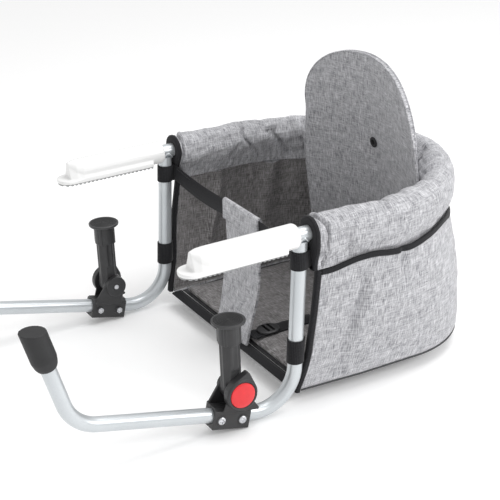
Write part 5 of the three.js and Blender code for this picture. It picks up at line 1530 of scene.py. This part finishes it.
pipes = []
for face in (front_face, rear_face):
    pipe = grown("piping", border_line(face), tube_tree, {
        "Radius": piping_radius, "Sides": 8, "Paint": melange_cloth}, closed=True)
    layer = pipe.uv_layers.get("cloth") or pipe.uv_layers.new(name="cloth")
    for loop in pipe.loops:
        place = pipe.vertices[loop.vertex_index].co
        layer.data[loop.index].uv = (place.y + place.x, place.z)
    pipes.append(smooth_all(pipe))
hole_radius = eyelet_radius - eyelet_rim
back_hole = turned("hole", [(0.0, -0.02), (hole_radius, -0.02), (hole_radius, 0.02), (0.0, 0.02)], 32)
eyelet_axis = Vector((1, 0, back_lean)).normalized()
eyelet_turn = axes((eyelet_axis.z, 0, -eyelet_axis.x), (0, 1, 0), eyelet_axis,
                   (back_edge_x + back_bow - back_lean * eyelet_z, 0, eyelet_z))
back_mesh = smooth_all(cut_away("backrest_cover", back_mesh, placed(back_hole, eyelet_turn)))
back_piece = fitted("backrest_cover", joined("backrest_cover", [back_mesh, *pipes]),
                    "backrest_panel", "frame")
eyelet_front = -back_thickness / 2 - 0.0009
eyelet_rear = back_thickness / 2 + fit_gap
barrel = hole_radius - fit_gap
eyelet_profile = [
    (eyelet_bore, eyelet_front - 0.0010), (eyelet_bore + 0.0006, eyelet_front - 0.0016),
    (eyelet_radius - 0.0012, eyelet_front - 0.0016), (eyelet_radius - 0.0003, eyelet_front - 0.0010),
    (eyelet_radius, eyelet_front - 0.0002), (eyelet_radius, eyelet_front), (barrel, eyelet_front),
    (barrel, eyelet_rear), (eyelet_radius, eyelet_rear), (eyelet_radius, eyelet_rear + 0.0006),
    (eyelet_radius - 0.001, eyelet_rear + 0.0016), (eyelet_bore + 0.0006, eyelet_rear + 0.0016),
    (eyelet_bore, eyelet_rear + 0.0010), (eyelet_bore, eyelet_front - 0.0010),
]
eyelet_mesh = placed(turned("eyelet_ring", eyelet_profile, 40, black_rubber), eyelet_turn)
fitted("eyelet_ring", eyelet_mesh, "backrest_eyelet", "frame")


# ---- Tube straps ----------------------------------------------------------------------------
# A loop of black webbing on each side is sewn to the bucket's front edge and wraps the leg.
tube_strap_z = -0.145
tube_strap_height = 0.033
strap_thickness = 0.0013
loop_radius = tube_radius + 0.0004 + strap_thickness / 2
loop_steps = 40
tail_steps = 8


def leg_at(side, z):
    return Vector((leg_x - (arm_height - z) * math.tan(leg_lean), side * arm_half_spacing, z))


def teardrop(centre, tail):
    """A loop round a centre that closes on its tail, drawn in the plane across the leg."""
    ahead = (tail - centre).normalized()
    beside = Vector((0, 0, 1)).cross(ahead)
    opening = math.acos(loop_radius / (tail - centre).length)
    ends = [centre + (ahead * math.cos(opening) + beside * turn * math.sin(opening)) * loop_radius
            for turn in (1, -1)]
    line = [tail.lerp(ends[0], k / tail_steps) + beside * strap_thickness / 2 * (1 - k / tail_steps)
            for k in range(tail_steps)]
    for k in range(loop_steps + 1):
        angle = opening + (2 * math.pi - 2 * opening) * k / loop_steps
        line.append(centre + (ahead * math.cos(angle) + beside * math.sin(angle)) * loop_radius)
    return line + [tail.lerp(ends[1], (tail_steps - 1 - k) / tail_steps)
                   - beside * strap_thickness / 2 * (k + 1) / tail_steps for k in range(tail_steps)]


def line_ahead(line, k):
    return line[min(k + 1, len(line) - 1)] - line[max(k - 1, 0)]


def looped_strap(name, side, z, height, tail_x):
    """Webbing that wraps one leg, leaning with it, with both ends sewn flat together."""
    up = Vector((math.sin(leg_lean), 0, math.cos(leg_lean)))
    line = teardrop(leg_at(side, z), Vector((tail_x, side * arm_half_spacing, z)))
    facing = [line_ahead(line, k).cross(up) for k in range(len(line))]
    return ribbon(name, line, [up] * len(line), facing, height, strap_thickness, black_tape)


for side_name, side in sides:
    tail_x = float(front_x(np.array(tube_strap_z))) - 0.001
    strap = looped_strap("leg_strap", side, tube_strap_z, tube_strap_height, tail_x)
    fitted(f"leg_strap_{side_name}", strap, f"tube_strap_{side_name}", "frame")
    tack = [[(tail_x - 0.003, side * (arm_half_spacing + 0.0014 * face), tube_strap_z + t)
             for t in np.linspace(-0.014, 0.014, 12)] for face in (-1, 1)]
    stitches(f"leg_strap_stitches_{side_name}", tack, black_thread)


# ---- Front strap ----------------------------------------------------------------------------
# One length of black webbing runs from leg to leg in front of the child. Each end is looped
# round its leg and sewn back on itself.
front_strap_z = -0.017
front_strap_x = 0.038
front_strap_middle_z = -0.032
front_strap_width = 0.025
front_strap_thickness = 0.0018
front_loop_height = 0.025
front_strap_sag = 0.006
front_strap_bow = 0.002
front_strap_twist = 0.10
end_steps = 26
middle_steps = 12
crotch_width = 0.098

strap_parts = []
for side in (-1, 1):
    tail_x = leg_at(side, front_strap_z).x + 0.020
    strap_parts.append(looped_strap("loop", side, front_strap_z, front_loop_height, tail_x))
left_end = leg_at(-1, front_strap_z) + Vector((0.0125, 0.006, 0))
strap_turn = Vector((front_strap_x, -crotch_width / 2, front_strap_middle_z))
strap_line = []
for k in range(end_steps):
    slack = math.sin(math.pi * k / end_steps)
    strap_line.append(left_end.lerp(strap_turn, k / end_steps)
                      + Vector((front_strap_bow * slack, 0, -front_strap_sag * slack)))
right_part = [Vector((p.x, -p.y, p.z)) for p in reversed(strap_line)]
for k in range(middle_steps + 1):
    y = -crotch_width / 2 + crotch_width * k / middle_steps
    strap_line.append(Vector((front_strap_x, y, front_strap_middle_z)))
strap_line += right_part
strap_across = []
strap_facing = []
for k in range(len(strap_line)):
    ahead = line_ahead(strap_line, k).normalized()
    from_tip = min(k, len(strap_line) - 1 - k)
    up = Vector((front_strap_twist * math.sin(math.pi * from_tip / end_steps), 0, 1))
    up -= ahead * up.dot(ahead)
    strap_across.append(up)
    strap_facing.append(ahead.cross(up))
strap_parts.append(ribbon("band", strap_line, strap_across, strap_facing, front_strap_width,
                          front_strap_thickness, black_tape))
front_webbing = fitted("front_webbing", joined("front_webbing", strap_parts),
                       "front_strap", "frame")
strap_ends = (strap_line[2:9], strap_line[-3:-10:-1])
strap_rows = [[place + Vector((-0.0011, 0, edge)) for place in row]
              for row in strap_ends for edge in (-0.0095, 0.0095)]
stitches("front_webbing_stitches", strap_rows, black_thread)


# ---- Crotch panel ---------------------------------------------------------------------------
# A wide tab of the melange cloth is folded over the front strap, sewn below it, and runs down
# to the floor's front edge between the child's legs.
crotch_half_layer = 0.0016
crotch_floor_x = float(front_x(np.array(bucket_floor_z))) + floor_band_width / 2
crotch_low = board_low
crotch_rise_x = 0.0065
tab_wave = 0.0012
tab_gap = 0.0019
tab_top_gap = 0.0021
tab_taper = 0.07
tab_cells = np.linspace(-1, 1, 41)


def tab_line():
    """The tab's middle line in x and z: up behind the strap, over its top and down to the floor."""
    top = front_strap_middle_z + front_strap_width / 2 + tab_top_gap
    low = front_strap_middle_z - front_strap_width / 2 - 0.002
    inside = front_strap_x + front_strap_thickness / 2 + tab_gap
    outside = front_strap_x - front_strap_thickness / 2 - tab_gap
    radius = (inside - outside) / 2
    line = [(outside - 0.0006, low + 0.001), (outside, low + 0.008), (outside, top - radius)]
    for k in range(1, 9):
        angle = math.pi * (1 - k / 9)
        line.append((front_strap_x + math.cos(angle) * radius, top - radius + math.sin(angle) * radius))
    line += [(inside, top - radius), (inside, low + 0.006), (inside - 0.0014, low - 0.004)]
    for k in range(1, 26):
        share = k / 25
        sag = crotch_rise_x * math.sin(math.pi * share)
        line.append((inside - 0.0014 + (crotch_floor_x - inside + 0.0014) * share + sag,
                     low - 0.004 + (crotch_low - low + 0.004) * share))
    return line


tab = tab_line()
tab_rows = []
for x, z in tab:
    narrow = 1 - tab_taper * np.clip((front_strap_middle_z - z) / 0.17, 0, 1)
    below = np.clip((front_strap_middle_z - z) / 0.05, 0, 1)
    tab_rows.append([(x + tab_wave * math.cos(a * 5.0 + z * 60) * below,
                      a * crotch_width / 2 * narrow, z) for a in tab_cells])
tab_rows = np.array(tab_rows)
tab_ahead = np.gradient(tab_rows, axis=0)
tab_side = np.gradient(tab_rows, axis=1)
tab_out = np.cross(tab_ahead, tab_side)
tab_out /= np.linalg.norm(tab_out, axis=-1)[..., None]
tab_gone = gone_along(tab)
tab_u, tab_v = np.meshgrid(tab_gone, tab_cells * crotch_width / 2, indexing="ij")
tab_mesh = shell_mesh("crotch_tab", tab_rows + tab_out * crotch_half_layer,
                      tab_rows - tab_out * crotch_half_layer, tab_v, tab_u, melange_cloth)
crotch_tab = fitted("crotch_tab", tab_mesh, "crotch_panel", "frame")
tab_seam_z = front_strap_middle_z - front_strap_width / 2 - 0.0015
tab_seam_y = np.linspace(-crotch_width * 0.47, crotch_width * 0.47, 30)
stitches("crotch_tab_stitches", [[(front_strap_x + face, y, tab_seam_z) for y in tab_seam_y]
                                 for face in (-0.0047, 0.0041)], grey_thread)


# ---- Crotch strap and adjuster --------------------------------------------------------------
# Black webbing sewn to the seat board's front edge lies back along the seat, threaded through a
# moulded slider with two slots.
harness_y = -0.044
harness_start_x = 0.020
harness_length = 0.104
harness_low = board_low + board_thickness + 0.0003
harness_thickness = 0.0019
adjuster_x = 0.032
adjuster_length = 0.034
adjuster_width = 0.030
adjuster_thickness = 0.004
adjuster_slot = 0.004
adjuster_slot_length = 0.0216
adjuster_lift = 0.002
slider_steps = 40
harness_steps = 60
harness_wave = 0.0005
harness_tacks = (0.003, 0.006, 0.098, 0.101)

harness_line = [Vector((harness_start_x + harness_length * k / harness_steps, harness_y,
                        harness_low + harness_thickness / 2 + harness_wave * math.sin(k * 0.31) ** 2))
                for k in range(harness_steps + 1)]
harness = ribbon("harness_webbing", harness_line, [(0, 1, 0)] * len(harness_line),
                 [(0, 0, 1)] * len(harness_line), front_strap_width, harness_thickness, black_tape)
fitted("harness_webbing", harness, "crotch_strap", "frame")
harness_rows = [[(harness_start_x + x, harness_y + y, harness_low + harness_thickness + 0.0002)
                 for y in np.linspace(-0.010, 0.010, 8)] for x in harness_tacks]
stitches("harness_stitches", harness_rows, black_thread)
slider_low = harness_low + adjuster_lift + fit_gap
slider_centre = Vector((adjuster_x + adjuster_length / 2, harness_y, slider_low))
slider_outline = []
for k in range(slider_steps):
    angle = 2 * math.pi * k / slider_steps
    bend = (adjuster_length - adjuster_width) / 2 * (1 if math.cos(angle) > 0 else -1)
    slider_outline.append((slider_centre.x + bend + math.cos(angle) * adjuster_width / 2,
                           slider_centre.y + math.sin(angle) * adjuster_width / 2))
slider = rounded_plate("slider", slider_outline, slider_low, slider_low + adjuster_thickness - 0.0008,
                       0.0008, black_plastic)
for offset in (-adjuster_slot, adjuster_slot):
    low, high = ((slider_centre.x + offset + way * adjuster_slot / 2,
                  harness_y + way * adjuster_slot_length / 2, slider_low + reach)
                 for way, reach in ((-1, -0.01), (1, 0.02)))
    slot = block_mesh(low, high)
    slider = cut_away("slider", slider, slot)
fitted("strap_slider", smooth_all(slider, 40.0), "strap_adjuster", "frame")
